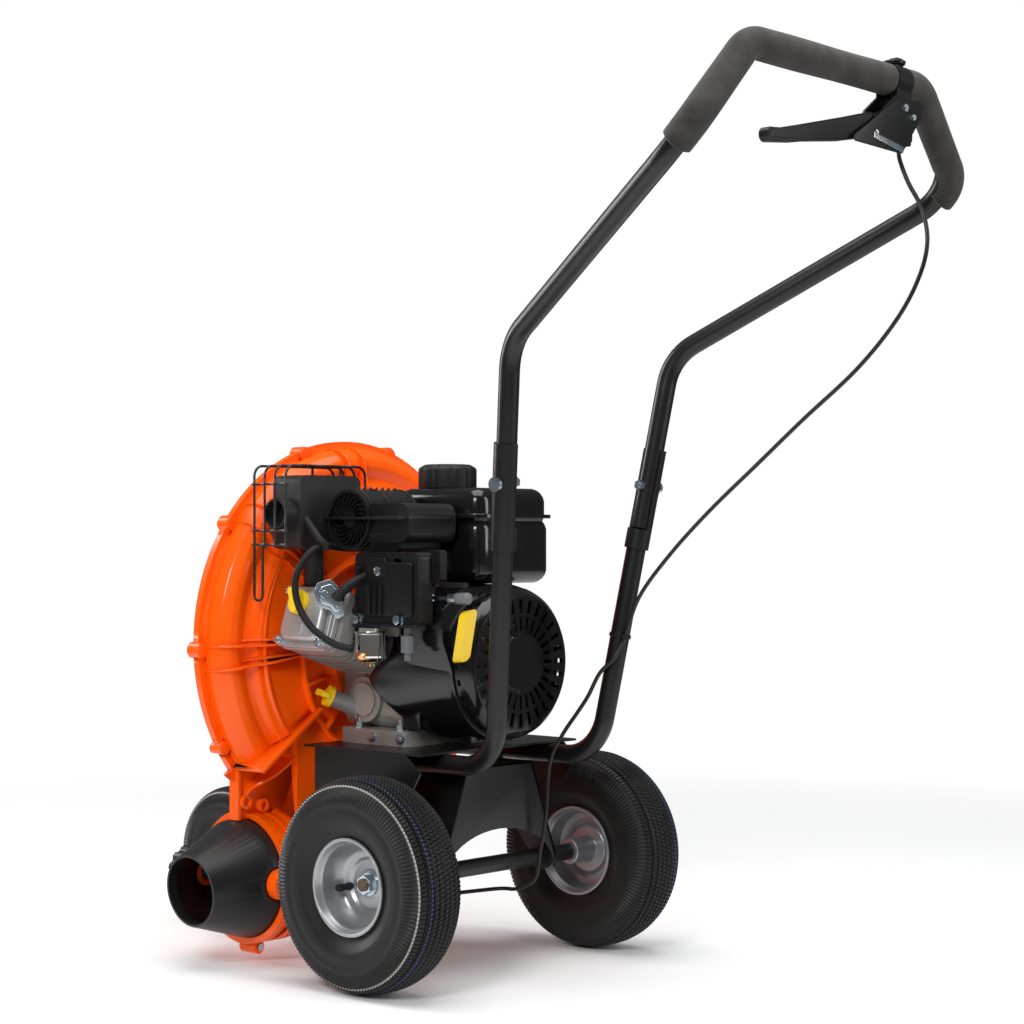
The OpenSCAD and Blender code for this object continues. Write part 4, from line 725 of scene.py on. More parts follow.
def eased_step(value, low, high):
    """Goes from 0 at low to 1 at high along 3t^2 - 2t^3."""
    t = np.clip((value - low) / (high - low), 0, 1)
    return t * t * (3 - 2 * t)


def scroll_outline(p):
    """In the left arc radius falls and middle rises by DRAWN_IN. Angles turn, so screws reach their places.
    Both fade out towards the fan's room, inside 205 mm, and past the outlet, below -50 degrees."""
    x, y, z = p.T
    left = x > ARCS[0][0][0]
    top = ~left & (z > ARCS[1][0][1])
    middle_z = np.where(left, SOLID_LEFT_Z, ARCS[1][0][1])
    out, angle = np.hypot(x + 2, z - middle_z), np.degrees(np.arctan2(z - middle_z, x + 2))
    share = eased_step(out, 205, 245) * (left | top)
    pull = DRAWN_IN * share * left * eased_step(angle, -52, -38)
    turned_at, turned_by = [-50, -38, 0, 38, 78, 90, 104, 122, 164, 180], [0, 0, -4, 3, 6, 0, 3, 9, 8, 0]
    turn = np.interp(angle, turned_at, turned_by) * share
    a = np.radians(angle + turn)
    moved = np.stack([(out - pull) * np.cos(a) - 2, y, middle_z + pull + (out - pull) * np.sin(a)], 1)
    return np.where((left | top)[:, None], moved, p)


def arc_inset(p):
    """How far a point lies inside its arc of the scroll: arc's radius - distance from the arc's middle."""
    x, z = p[:, 0], p[:, 2]
    inset = np.full(len(p), 999.0)
    middle_x, middle_z = ARCS[1][0]
    left, top = x > middle_x, z > middle_z
    for ((cx, cz), r, _, _), here in zip(ARCS, (left, ~left & top, ~left & ~top)):
        inset = np.where(here, r - np.hypot(x - cx, z - cz), inset)
    return inset


def rear_shape(p):
    """After the outline, depth behind the split falls by up to 22% where the ridged band will lie."""
    p = scroll_outline(p)
    inset, depth = arc_inset(p), p[:, 1] - SPLIT_Y
    low = 0.22 * eased_step(inset, 3, 14) * (1 - eased_step(inset, 46, 60)) * (depth > 20)
    p[:, 1] = SPLIT_Y + depth * (1 - low)
    return p


def front_shape(p):
    """After the outline, the wall's inset goes from the solid's to the tapered one, and fades inwards."""
    p = scroll_outline(p)
    inset, depth = arc_inset(p), SPLIT_Y - p[:, 1]
    was = np.interp(depth, [0, 38, 56, 66, 73], [0, 0, 10, 26, 60])
    now = np.interp(depth, [0, 5, 8, 20, 44, 66, 73], [0, 0, 1, 13, 38, 63, 74])
    away = (now - was) * (1 - eased_step(inset, was + 6, now + 40)) * (depth > 4.9) * (inset > -4)
    for (cx, cz), r, _, _ in ARCS:
        out = np.hypot(p[:, 0] - cx, p[:, 2] - cz)
        here = np.abs(inset - (r - out)) < 1e-6
        scale = np.where(here & (out > 100), 1 - away / np.maximum(out, 1), 1)
        p[:, 0], p[:, 2] = cx + (p[:, 0] - cx) * scale, cz + (p[:, 2] - cz) * scale
        away = np.where(here, 0, away)
    return p


def round_point(radius, degrees, middle):
    """A point (x, z) on a circle."""
    a = math.radians(degrees)
    return radius * math.cos(a) + middle[0], radius * math.sin(a) + middle[1]


def near_any(p, places, reach):
    """Which points lie within reach of one of the places (x, z)."""
    return np.min(np.hypot(p[:, None, 0] - places[:, 0], p[:, None, 2] - places[:, 1]), 1) < reach


# Joint screws of the lip, where the solids have them
LIP_SCREWS = np.array([round_point(272, a, (-2, SOLID_LEFT_Z)) for a in (-30, 2, 34, 66)]
                      + [round_point(251, a, ARCS[1][0]) for a in (104, 136, 168)])
WEB_SCREWS = np.array([(166, 205), (190, 214), (214, 226)])


def blind_screws(p):
    """Nothing of a screw or nut shows behind the lip: depths over 8 mm near a lip screw are cut to 8 mm,
    and over 4 mm above the outlet, where the screws also move to their bosses."""
    near, web = near_any(p, LIP_SCREWS, 13), near_any(p, WEB_SCREWS, 13)
    q = scroll_outline(p)
    q[web] -= (22, 0, 12)
    depth = q[:, 1] - SPLIT_Y
    q[:, 1] = SPLIT_Y + np.where(near, np.minimum(depth, 8), np.where(web, np.minimum(depth, 4), depth))
    return q


def low_bosses(p):
    """The lip's bosses behind the split are lowered from 17 to 9 mm, before the rest of the rear shape."""
    depth, q = p[:, 1] - SPLIT_Y, p.copy()
    boss = near_any(p, LIP_SCREWS, 9.6) & (depth > 5.5) & (depth < 18)
    web = (p[:, 0] > 150) & (p[:, 2] > 196) & (p[:, 2] < 250) & (depth < 24)
    q[:, 1] = SPLIT_Y + np.where(boss, 5 + (depth - 5) / 3, np.where(web, np.minimum(depth, 5), depth))
    return narrow_web(rear_shape(q))


def narrow_web(p):
    """Between the scroll's end and the collar the web stops at x = 200."""
    web = (p[:, 2] > 198) & (p[:, 2] < 247) & (np.abs(p[:, 1] - SPLIT_Y) < 24)
    p[:, 0] = np.where(web, np.minimum(p[:, 0], 200), p[:, 0])
    return p


def front_with_web(p):
    """The front half's shape, with the same narrower web."""
    return narrow_web(front_shape(p))


def slender(p):
    """The lever narrows from its pivot to 0.55 of its width at the tip."""
    p[:, 1] = BAR_Y + (p[:, 1] - BAR_Y) * np.interp(p[:, 0], [-60, 132], [1, 0.55])
    return p


def leaning(p):
    """The rope's grip leans forward at its foot: sideways run of 0.55 per unit of height."""
    p[:, 1] += 0.55 * (p[:, 2] - (p[:, 2].min() + p[:, 2].max()) / 2)
    return p


def reshape(mesh, change):
    """Moves a mesh's points by a function of the drawn points (n, 3)."""
    flat = np.empty(len(mesh.vertices) * 3, np.float32)
    mesh.vertices.foreach_get("co", flat)
    points = change(flat.reshape(-1, 3) * 1000.0 - FOOTPRINT)
    mesh.vertices.foreach_set("co", drawn(points).astype(np.float32).reshape(-1))
    mesh.update()


RESHAPED = {"housing_rear": low_bosses, "housing_front": front_with_web, "housing_screws": blind_screws,
            "lever": slender, "recoil_handle": leaning}
print("outline ready for", list(RESHAPED))

# %% [markdown]
# Flat pieces with a thickness, such as ribs and pads, share one more helper: an outline in a plane, given
# a thickness, whose rim is rounded by drawing the outline in near each face.

# %% Plate with rounded rim
# Two directions that span a plane; a plate's thickness grows along the first crossed with the second
LEFTWARDS, UPWARDS = ((0, 1, 0), (0, 0, 1)), ((1, 0, 0), (0, 1, 0))
FORWARDS, BACKWARDS = ((1, 0, 0), (0, 0, 1)), ((-1, 0, 0), (0, 0, 1))


def plate(name, outline, origin, across, up, thick, edge=0.6, steps=3):
    """Ring k of the rim stands at height edge*(1-cos a) and is drawn in by edge*(1-sin a), a from 0 to 90
    degrees. The two faces are single polygons. across and up span the plane."""
    outline = np.asarray(outline, float)
    if np.sum(outline[:, 0] * np.roll(outline[:, 1], -1) - np.roll(outline[:, 0], -1) * outline[:, 1]) < 0:
        outline = outline[::-1]
    before, after = outline - np.roll(outline, 1, 0), np.roll(outline, -1, 0) - outline
    before /= np.linalg.norm(before, axis=1)[:, None]
    after /= np.linalg.norm(after, axis=1)[:, None]
    normal = np.stack([(before + after)[:, 1], -(before + after)[:, 0]], 1)
    normal /= np.maximum((normal ** 2).sum(1, keepdims=True) / 2, 0.35)
    a = np.linspace(0, np.pi / 2, steps + 1)
    drawn_in = edge * (1 - np.sin(a))
    height = edge * (1 - np.cos(a))
    drawn_in = np.concatenate([drawn_in, drawn_in[::-1]])
    height = np.concatenate([height, thick - height[::-1]])[:, None, None]
    rings = outline[None] - normal[None] * drawn_in[:, None, None]
    across, up = unit(across), unit(up)
    points = np.asarray(origin, float) + rings[..., :1] * across + rings[..., 1:] * up
    points = points + height * np.cross(across, up)
    rows, columns = points.shape[:2]
    faces = quads_of(rows, columns, False, True).tolist()
    faces += [list(range(columns))[::-1], list(range((rows - 1) * columns, rows * columns))]
    mesh = bpy.data.meshes.new(name)
    mesh.from_pydata(drawn(points).reshape(-1, 3), [], faces)
    return settled(name, mesh)


def joined(name, pieces, material, node, *replaced):
    """Several meshes become one piece on the frame, with one finish; the given node's slot is looked up but
    not used.
    """
    work = bmesh.new()
    for piece in pieces:
        work.from_mesh(piece.data)
        bpy.data.objects.remove(piece)
    mesh = bpy.data.meshes.new(name)
    work.to_mesh(mesh)
    work.free()
    made = bpy.data.objects.new(name, mesh)
    bpy.context.scene.collection.objects.link(made)
    return fitted(made, material, "frame", SLOT_OF[node], *replaced)


print("plates can be cut")

# %% The ridged band
BAND = soft_corners([(0.3, 5.05), (-0.4, 17), (5, 29), (15, 38.5), (25, 40.5), (33, 38.2), (40, 34.8),
                     (47, 38),
                     (54, 45.5), (61, 49), (62.5, 52.3), (66, 52.3), (66, 46), (50, 24), (8, 12), (3, 5.05)],
                    [0.5, 5, 9, 9, 9, 9, 7, 7, 6, 3, 1, 0.5, 1, 3, 3, 0.5], 5)


def along_scroll(section, gap=1.5):
    """Point = arc's middle + (radius - inset) * (cos a, sin a), at the section's depth behind the split."""
    rows = []
    for (cx, cz), r, start, end in ARCS:
        a = np.radians(np.linspace(start, end, int((end - start) / gap) + 1))[:, None]
        out = r - section[None, :, 0]
        depth = np.broadcast_to(SPLIT_Y + section[None, :, 1], (len(a), len(section)))
        rows.append(np.stack([cx + out * np.cos(a), depth, cz + out * np.sin(a)], -1))
    return np.concatenate(rows)


band = skin("housing_ridged_band", drawn(capped(along_scroll(BAND))), False, True, crease=50)
fitted(band, ORANGE, "frame", SLOT_OF["housing_rear"])
print("band of", len(band.data.polygons), "faces")

# %% Ribs across the band
RIB = [(132, 49), (60, 38), (20, 20), (2, 4), (-2, 4), (-2.6, 17), (1.5, 33), (12, 45), (25, 49), (38, 49),
       (48, 51.5), (60, 56), (72, 60), (132, 58)]
RIB_THICK, HALF_PAIR = 3.2, 900
ribs = []
for arc, degrees in ((0, -4), (0, 41), (0, 84), (1, 131), (1, 172), (2, 206), (2, 238)):
    (cx, cz), r = ARCS[arc][:2]
    for side in (-1, 1):
        a = math.radians(degrees + side * HALF_PAIR / r)
        inwards, behind = np.array([-math.cos(a), 0, -math.sin(a)]), np.array([0, 1.0, 0])
        foot = np.array([cx, SPLIT_Y, cz]) - r * inwards - np.cross(inwards, behind) * RIB_THICK / 2
        ribs.append(plate("rib", soft_corners(RIB, 2, 3), foot, inwards, behind, RIB_THICK, 0.7, 2))
joined("housing_ribs", ribs, ORANGE, "housing_rear")

# %% Low bosses on the lip, and the pad under the fork
places = scroll_outline(np.insert(LIP_SCREWS, 1, SPLIT_Y, axis=1))
bosses = [lathed("boss", [(0, 3), (9.4, 3), (9.1, 9.6), (0, 9.6)], [0, 0.3, 1.6, 0], place, (0, 1, 0), 36)
          for place in places]
joined("lip_bosses", bosses, ORANGE, "housing_rear")
pad = soft_corners([(-62, 88), (62, 88), (62, 236), (-62, 236)], 12, 6)
made = plate("fork_pad", pad, (0, SPLIT_Y - 73.1, 0), *BACKWARDS, 33, 1.2)
fitted(made, ORANGE, "frame", SLOT_OF["housing_front"])
print("ribs, bosses and pad on")

# %% [markdown]
# ## Edges that catch the light
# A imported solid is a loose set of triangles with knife-sharp edges. Nothing real is that sharp: a cast,
# moulded or pressed edge always has a small radius, and it is the thin bright line along it that makes a
# thing look solid. So most solids are copied, their loose triangles merged, flat areas joined to whole
# faces, and a narrow Bevel modifier rounds what is left sharp.

# %% Copy a solid and break its edges
SHARP = math.radians(32)


def eased(node, bevel, material):
    """The solid again, reshaped if it has to be, with its sharp edges rounded to the bevel's width in mm."""
    mesh = nodes[node].data.copy()
    if node in RESHAPED:
        reshape(mesh, RESHAPED[node])
    work = bmesh.new()
    work.from_mesh(mesh)
    bmesh.ops.remove_doubles(work, verts=work.verts, dist=4e-6)
    bmesh.ops.dissolve_degenerate(work, edges=work.edges, dist=1e-6)
    bmesh.ops.dissolve_limit(work, angle_limit=math.radians(0.4), verts=work.verts, edges=work.edges)
    work.to_mesh(mesh)
    work.free()
    mesh.shade_smooth()
    mesh.set_sharp_from_angle(angle=SHARP)
    piece = bpy.data.objects.new(node + "_eased", mesh)
    bpy.context.scene.collection.objects.link(piece)
    if bevel:
        edge = piece.modifiers.new("broken edges", "BEVEL")
        edge.width, edge.segments = bevel / 1000, 2
        edge.limit_method, edge.angle_limit = "ANGLE", SHARP
        edge.use_clamp_overlap, edge.harden_normals = True, True
    return fitted(piece, material, BODY_OF[node], SLOT_OF[node], node)


# %% Which solid gets which edge and finish
EASED = {
    "base_plate": (0.6, POWDER), "front_fork": (0.6, POWDER),
    "upper_handle": (0, POWDER), "lower_handle_left": (0.3, POWDER), "lower_handle_right": (0.3, POWDER),
    "lever_bracket": (0.5, SATIN), "lever": (0.8, SATIN), "cable_tie": (0.2, SATIN),
    "housing_rear": (0.8, ORANGE), "housing_front": (0.8, ORANGE), "inlet_guard": (0.5, SATIN),
    "fan_wheel": (0.3, COARSE), "nozzle": (0.5, NOZZLE), "pivot_knob": (1.0, SATIN),
    "crankcase": (1.2, CASTING), "flywheel": (0.5, CASTING), "engine_cylinder": (0.5, CASTING),
    "oil_cap": (1.2, YELLOW), "dipstick": (1.2, YELLOW),
    "blower_shroud": (1.2, GLOSSY), "recoil_cover": (0.8, GLOSSY),
    "recoil_handle": (1.5, YELLOW), "fuel_tank": (1.0, GLOSSY),
    "air_cleaner": (1.2, SATIN), "swirl_vanes": (0.2, SATIN), "intake_cover": (0.8, SATIN),
    "carburetor": (0.6, CASTING), "fuel_filter": (0.6, GREY), "stop_switch": (0.6, SATIN),
    "muffler": (5, HOT_BLACK), "muffler_guard": (0, WIRE), "housing_screws": (0, ZINC),
}
for node, (bevel, material) in EASED.items():
    eased(node, bevel, material)
print(len(EASED), "solids eased")

# %% [markdown]
# Small turned and bought parts, such as bolts, nuts, studs and shafts, are right as they are. They keep
# their solids and only get a metal finish.

# %% Metal for the small parts
PLAIN = {
    "axle": RUSTY, "axle_nuts": ZINC, "front_axle": ZINC, "handle_bolts": ZINC,
    "pivot_bolts": ZINC, "mount_studs": ZINC, "crankshaft": STEEL, "throttle_lever": ZINC,
}
for node, material in PLAIN.items():
    nodes[node].data.materials.clear()
    nodes[node].data.materials.append(material)
print(len(PLAIN), "solids in metal")

# %% [markdown]
# ## Where the scroll meets the outlet
# Below the scroll's end a flat web joins it to the round outlet. A tall flange in the shape of an S runs
# down from the hub, sinks towards the lip and curls round three bosses with sunken hexagons. Its top edge
# is a smooth line in space, and its wall is a thin section that follows that line.

# %% The S-shaped flange


def flange(name, crest, half, foot):
    """Wall along a smooth line (x, depth, z): six points at each station, three to each side of the line."""
    line = evenly(smooth_through(np.asarray(crest, float), 8), 3.0)
    way = np.gradient(line[:, [0, 2]], axis=0)
    way /= np.linalg.norm(way, axis=1)[:, None]
    side = np.stack([-way[:, 1], way[:, 0]], 1)
    across = np.array([-half, -half, -half + 1, half - 1, half, half])
    drop = np.array([None, 1.2, 0, 0, 1.2, None])
    rows = []
    for offset, low in zip(across, drop):
        depth = np.full(len(line), float(foot)) if low is None else line[:, 1] - low
        at = line[:, [0, 2]] + offset * side
        rows.append(np.stack([at[:, 0], SPLIT_Y + depth, at[:, 1]], 1))
    return skin(name, drawn(capped(np.stack(rows, 1))), False, True)


crest = [(64, 50, 345), (88, 51, 317), (112, 51, 294), (140, 49, 269), (163, 42, 250), (178, 32, 240),
         (188, 22, 232), (193, 14, 222)]
s_flange = flange("s", crest, 2.2, 3)
wall = flange("w", [(203, 11, 262), (203, 11, 250), (203, 11, 220), (203, 11, 190)], 3, -6)
WEB = [(-128, 186), (-204, 186), (-204, 262), (-150, 290), (-118, 300), (-100, 300), (-100, 250)]
web = plate("web", soft_corners(WEB, 4, 3), (0, SPLIT_Y + 0.5, 0), *BACKWARDS, 6, 0.5)
SOCKET = [(0, 4), (10, 4), (9.6, 15), (5.2, 15), (4.6, 9), (0, 9)]
sockets = [lathed("socket", SOCKET, [0, 0.5, 1.5, 0.8, 0.5, 0], (x, SPLIT_Y, z), (0, 1, 0), 36)
           for x, z in ((138, 190), (163, 206), (193, 213))]
joined("outlet_web", [s_flange, wall, web] + sockets, ORANGE, "housing_rear")
print("flange, web and bosses on")

# %% [markdown]
# ## The bracket under the base
# The sheet that carries the rear axle hangs below the base: a wide web with an arched lower edge, and a
# flange folded back at each side that holds the axle's tube.

# %% Bracket of folded sheet
LOW_TUBE_Z, BRACKET_Y, SHEET, TUBE_BORE_R = 275.3, 26.0, 3.0, 8.2
SHEET_TOP = LOW_TUBE_Z - 8
HALF_TOP, HALF_FOOT, FOOT_Z = 62, 112, REAR_R + 4
ARCH_HALF, ARCH_TALL, ARCH_Z = 108, 62, REAR_R - 12
run = np.array([HALF_TOP - HALF_FOOT, 0, SHEET_TOP - FOOT_Z])
tall = float(np.linalg.norm(run))
sheet = [(-HALF_TOP, SHEET_TOP), (HALF_TOP, SHEET_TOP), (HALF_FOOT, FOOT_Z), (ARCH_HALF, ARCH_Z)]
sheet += [(ARCH_HALF * math.cos(a), ARCH_Z + ARCH_TALL * math.sin(a))
          for a in np.linspace(0.12, math.pi - 0.12, 21)]
sheet += [(-ARCH_HALF, ARCH_Z), (-HALF_FOOT, FOOT_Z)]
folded = [plate("web", sheet, (0, BRACKET_Y, 0), *FORWARDS, SHEET, 0.4)]
fold = soft_corners([(0, 0), (44, 0), (96, tall), (0, tall)], [1, 10, 1, 1], 4)
for side in (1, -1):
    ex, ey = np.array([0, -1.0, 0]), unit(run * [side, 1, 1])
    foot = np.array([HALF_FOOT * side, BRACKET_Y, FOOT_Z]) - (side < 0) * np.cross(ex, ey) * SHEET
    folded.append(plate("fold", fold, foot, ex, ey, SHEET, 0.4))
    ring = [(TUBE_BORE_R, -6), (17, -6), (17, 4), (TUBE_BORE_R, 4)]
    folded.append(skin("boss", turned(ring, (HALF_FOOT * side, 0, REAR_R), (side, 0, 0), 40)))
tube = [(TUBE_BORE_R, -168), (11, -168), (11, 168), (TUBE_BORE_R, 168)]
folded.append(skin("tube", turned(tube, (0, 0, REAR_R), (1, 0, 0), 40)))
shelf = [(-HALF_TOP, -70), (HALF_TOP, -70), (HALF_TOP, 26), (-HALF_TOP, 26)]
folded.append(plate("shelf", shelf, (0, 0, LOW_TUBE_Z - 11), *UPWARDS, SHEET, 0.4))
joined("axle_bracket_sheet", folded, POWDER, "axle_bracket", "axle_bracket")
print("bracket folded")

# %% [markdown]
# ## Bolts, caps and castings of the engine
# Up close an engine is mostly fasteners and small castings. A hexagon head is a lathe profile whose sides
# are pulled to six flats, and one function puts such a head with its washer anywhere.

# %% Hexagon heads


def hex_bolt(place, way, flats=10.0, tall=5.0, washer=1.5):
    """Head radius = half the flats / cos(angle to the nearest flat's middle), cut by a cone at its top."""
    a = np.linspace(0, 2 * np.pi, 48, endpoint=False)[:, None]
    nearest = (a + np.pi / 6) % (np.pi / 3) - np.pi / 6
    flat = flats / 2 / np.cos(nearest)
    top = washer + tall
    heights = np.array([0, washer, washer, washer + 0.3, top - 1.1, top - 0.3, top, top])[None]
    disc = np.array([flats * 0.72, flats * 0.72, 0, 0, 0, 0, 0, 0])[None]
    limit = np.array([0, 0, 9, 9, flats * 0.585, flats * 0.53, flats * 0.47, 0])[None]
    radius = np.where(disc > 0, disc, np.minimum(flat, np.maximum(limit, 0)))
    side, up = cross_axes(way)
    spoke = np.cos(a)[..., None] * side + np.sin(a)[..., None] * up
    points = np.asarray(place, float) + radius[..., None] * spoke + heights[..., None] * unit(way)
    return skin("bolt", drawn(points), True, False, crease=28)


CRANK_Z, TILT = 400, math.radians(18)
HEAD_X, HEAD_Y = np.array([math.cos(TILT), 0, math.sin(TILT)]), np.array([0, 1.0, 0])
HEAD_Z = np.array([-math.sin(TILT), 0, math.cos(TILT)])


def on_head(out, along, up):
    """A point in the tilted cylinder's own directions: outwards, along the machine and up."""
    return np.array([0, -138.0, CRANK_Z]) + out * HEAD_X + along * HEAD_Y + up * HEAD_Z


bolts = [hex_bolt(on_head(196.5, y - 5, z), HEAD_X, 9.5, 5, 1.6) for y in (-38, 38) for z in (-33, 33)]
bolts += [hex_bolt((150.2, y, z), (1, 0, 0), 11, 6, 2) for y, z in ((-41, 519), (-81, 457), (-7, 458))]
bolts += [hex_bolt((96.3, y, foot), (1, 0, 0), 9, 4, 1.5) for y, foot in ((-112, 301), (-60, 301))]
joined("engine_bolts", bolts, ZINC, "mount_studs")
print("bolts:", len(bolts))

# %% Valve cover: domed casting with a rounded step, a raised pad and four bosses
FOOT_LINE = [(-46, -42), (46, -42), (46, 42), (-46, 42)]
STEP_LINE = [(u * 0.95, v * 0.95) for u, v in FOOT_LINE]
DOME_LINE = [(-37, -33), (37, -33), (37, 33), (-37, 33)]
PAD_LINE = [(-30, -26), (8, -26), (8, -12), (-30, -12)]
cover = []
for line, corner, fine, out, thick, edge, steps in (
        (FOOT_LINE, 13, 8, 178.4, 8, 1.4, 4), (STEP_LINE, 12, 8, 186, 5, 1.6, 4),
        (DOME_LINE, 15, 8, 190, 12.6, 7, 8), (PAD_LINE, 4, 5, 201.5, 2.2, 0.9, 3)):
    outline = soft_corners(line, corner, fine)
    cover.append(plate("layer", outline, on_head(out, -5, 0), HEAD_Y, HEAD_Z, thick, edge, steps))
BOSS = [(0, 0), (7.4, 0), (7.0, 11.2), (0, 11.2)]
cover += [lathed("boss", BOSS, [0, 0.4, 1.6, 0], on_head(185, y - 5, z), HEAD_X, 32)
          for y in (-38, 38) for z in (-33, 33)]
joined("valve_cover_casting", cover, DIE_CAST, "valve_cover", "valve_cover")
print("valve cover cast")

# %% Float bowl in bright chrome, with its drain screw
BOWL = [(0, -5), (13, -5), (20.6, 1), (20.6, 31), (21.8, 31), (21.8, 34.5), (0, 34.5)]
made = lathed("float_bowl", BOWL, [0, 5, 5, 0.6, 0.8, 0.8, 0], (146, -63, 408), (0, 0, 1), 72, 6)
fitted(made, CHROME, "frame", SLOT_OF["carburetor"])
drain = [hex_bolt((146, -63, 403.5), (0, 0, -1), 11, 5, 1.2),
         hex_bolt((165.5, -58, 411), (0.9, 0.3, -0.2), 6, 5, 1)]
joined("bowl_drain", drain, BRASS, "carburetor")
print("bowl on")

# %% [markdown]
# ## The engine's shroud
# A glossy black cover leads the flywheel's air forward over the cylinder. It starts round, at the recoil
# starter, and sweeps forward and outwards on the left to a rounded point. At each angle round the
# crankshaft a short section runs forward. How far it runs and how wide it ends come from a small table.

# %% Swept cover
SHROUD_BACK, SHROUD_R = 35.5, 101.4
degrees = np.arange(-150, 78, 2.0)
SWEEP_ANGLE = [-150, -100, -69, -51, -34, -20, -11, -2, 6, 30, 78]
SWEEP_FRONT = [-34, -34, -36, -50, -74, -100, -111, -92, -58, -40, -38]
SWEEP_RADIUS = [101.5, 102, 106, 112, 113, 111, 108, 107, 108, 107, 102]
front = np.interp(degrees, SWEEP_ANGLE, SWEEP_FRONT)
wide = np.interp(degrees, SWEEP_ANGLE, SWEEP_RADIUS)
kernel = np.hanning(7) / np.hanning(7).sum()
front = np.convolve(np.pad(front, 3, "edge"), kernel, "valid")
wide = np.convolve(np.pad(wide, 3, "edge"), kernel, "valid")
share = np.concatenate([[0, 0, 0, 0.008, 0.022, 0.045], np.linspace(0.08, 1, 16), [1, 1],
                        np.linspace(1, 0, 8)])
drop = np.concatenate([[12, 7, 4.5, 1.6, 0.5, 0.1], np.zeros(15), [0.8, 2.2, 3.4], np.full(8, 4.0)])
run_y = SHROUD_BACK + (front[:, None] - SHROUD_BACK) * share
out = SHROUD_R + (wide[:, None] - SHROUD_R) * share ** 1.3 - drop
a = np.radians(degrees)[:, None]
sweep = np.stack([out * np.cos(a), run_y, CRANK_Z + out * np.sin(a)], -1)
made = skin("shroud_sweep", drawn(capped(sweep)), False, True, crease=50)
fitted(made, GLOSSY, "frame", SLOT_OF["blower_shroud"])
print("shroud swept over", len(degrees), "stations")

# %% Fuel cap with broad flutes
CAP_AROUND, FLUTES = 180, 10
a = np.linspace(0, 2 * np.pi, CAP_AROUND, endpoint=False)[:, None]
flute = np.exp(-(((a * FLUTES / (2 * np.pi)) % 1 - 0.5) / 0.11) ** 2)
CAP = soft_corners([(33, 0), (39, 0), (39, 27), (30, 32), (0, 33)], [0.5, 1, 5, 9, 0], 5, False)
rim = np.clip((CAP[:, 0] - 29) / 6, 0, 1)[None] * np.clip((CAP[:, 1] - 1) / 2, 0, 1)[None]
radius = CAP[None, :, 0] - 2.6 * flute * rim
inner = np.array([[0, 6.0], [31, 6.0], [33, 0]])
radius = np.concatenate([np.broadcast_to(inner[:, 0], (CAP_AROUND, 3)), radius], 1)
height = np.broadcast_to(np.concatenate([inner[:, 1], CAP[:, 1]]), radius.shape)
points = np.stack([-20 + radius * np.cos(a), -87 + radius * np.sin(a), 626.4 + height], -1)
made = skin("fuel_cap_fluted", drawn(points), True, False)
fitted(made, COARSE, BODY_OF["fuel_cap"], SLOT_OF["fuel_cap"], "fuel_cap")

# %% Plug boot, breather pipe and the throttle's knob
HOSE_GAP = 2.0


def hose(name, points, radius, *replaced):
    """A round rubber tube with closed, slightly rounded ends along a smooth line."""
    line = evenly(smooth_through(np.asarray(points, float), 10), HOSE_GAP)
    run = np.arange(len(line)) * HOSE_GAP
    end = np.minimum(run, run[-1] - run)
    size = radius * np.sqrt(np.clip(1 - np.clip(1 - end / 2.5, 0, 1) ** 2 * 0.5, 0, 1))
    tube = carried(line, circle(1, 20)[None] * size[:, None, None])
    made = skin(name, drawn(capped(tube)), False, True)
    return fitted(made, RUBBER, "frame", SLOT_OF["breather_hose"], *replaced)


hose("plug_boot", [(184, -86, 484), (179, -80, 494), (168, -74, 503), (152, -71, 510), (140, -70, 513)], 6.5)
hose("breather_pipe", [(176, -160, 592), (176, -144, 576), (176, -126, 558), (168, -118, 548)], 5.4)
hose("boot_collar", [(186, -87.5, 482), (181, -83, 490)], 9)
lead = [(150, -71, 510), (152, -90, 500), (160, -104, 470), (158, -98, 440), (140, -80, 428)]
hose("ignition_lead", lead, 2.6)
KNOB = [(0, 46), (6.8, 46), (7.6, 52), (7.4, 68), (0, 70)]
made = lathed("throttle_knob", KNOB, [0, 2, 3, 3, 0], (116, 12, 485.7), (0, 1, 0), 40, 5)
fitted(made, GREY, BODY_OF["throttle_lever"], SLOT_OF["throttle_lever"])
print("boot, pipes and knob on")

# %% Intake cover: raised panel, ribs and a rolled edge
panel_line = [(-66, 462), (16, 462), (16, 530), (-30, 530), (-30, 536), (-66, 536)]
panel = [plate("panel", soft_corners(panel_line, 5, 5), (150.1, 0, 0), *LEFTWARDS, 3.2, 1.2)]
for y in (-58, -48, -38):
    rib = [(y, 464), (y + 2.4, 464), (y + 2.4, 500), (y, 500)]
    panel.append(plate("rib", rib, (153, 0, 0), *LEFTWARDS, 4, 0.8, 2))
edge_line = soft_corners([(-88, 448), (24, 448), (24, 452), (-88, 452)], 1.5, 3)
panel.append(plate("edge", edge_line, (150, 0, 0), *LEFTWARDS, 6, 1))
joined("intake_panel", panel, SATIN, "intake_cover")

# %% Ribs along the air cleaner's drum
DRUM_Y, DRUM_Z = -104, 584
tooth = [(0, 0), (7.5, 0), (7.5, 1), (0.5, 5.5)]
teeth = [plate("tooth", tooth, (x, DRUM_Y + 2, DRUM_Z + 37.5), *FORWARDS, 2.6, 0.5, 2)
         for x in range(62, 129, 11)]
lip_line = soft_corners([(-52, -150), (52, -150), (52, 0), (-52, 0)], 12, 6)
lip = plate("lip", lip_line, (100, -2, DRUM_Z + 0.5), *UPWARDS, 3.4, 1)
ring = soft_corners([(36, 0), (40.6, 0), (40.6, 4), (36, 4)], 0.8, 3)
bands = [skin("band", turned(ring, (x, DRUM_Y, DRUM_Z), (1, 0, 0), 72)) for x in (56, 104, 136)]
joined("drum_ribs", teeth + bands + [lip], SATIN, "air_cleaner")
print("intake and drum dressed")

# %% [markdown]
# ## Lever plate, heat shield and breather hose
# The hand lever turns between two pressed cheeks. A broad plate stands over the near cheek, with its rivets
# and a silver link, and the lever's channel is filled from below. The breather hose is one smooth curve.

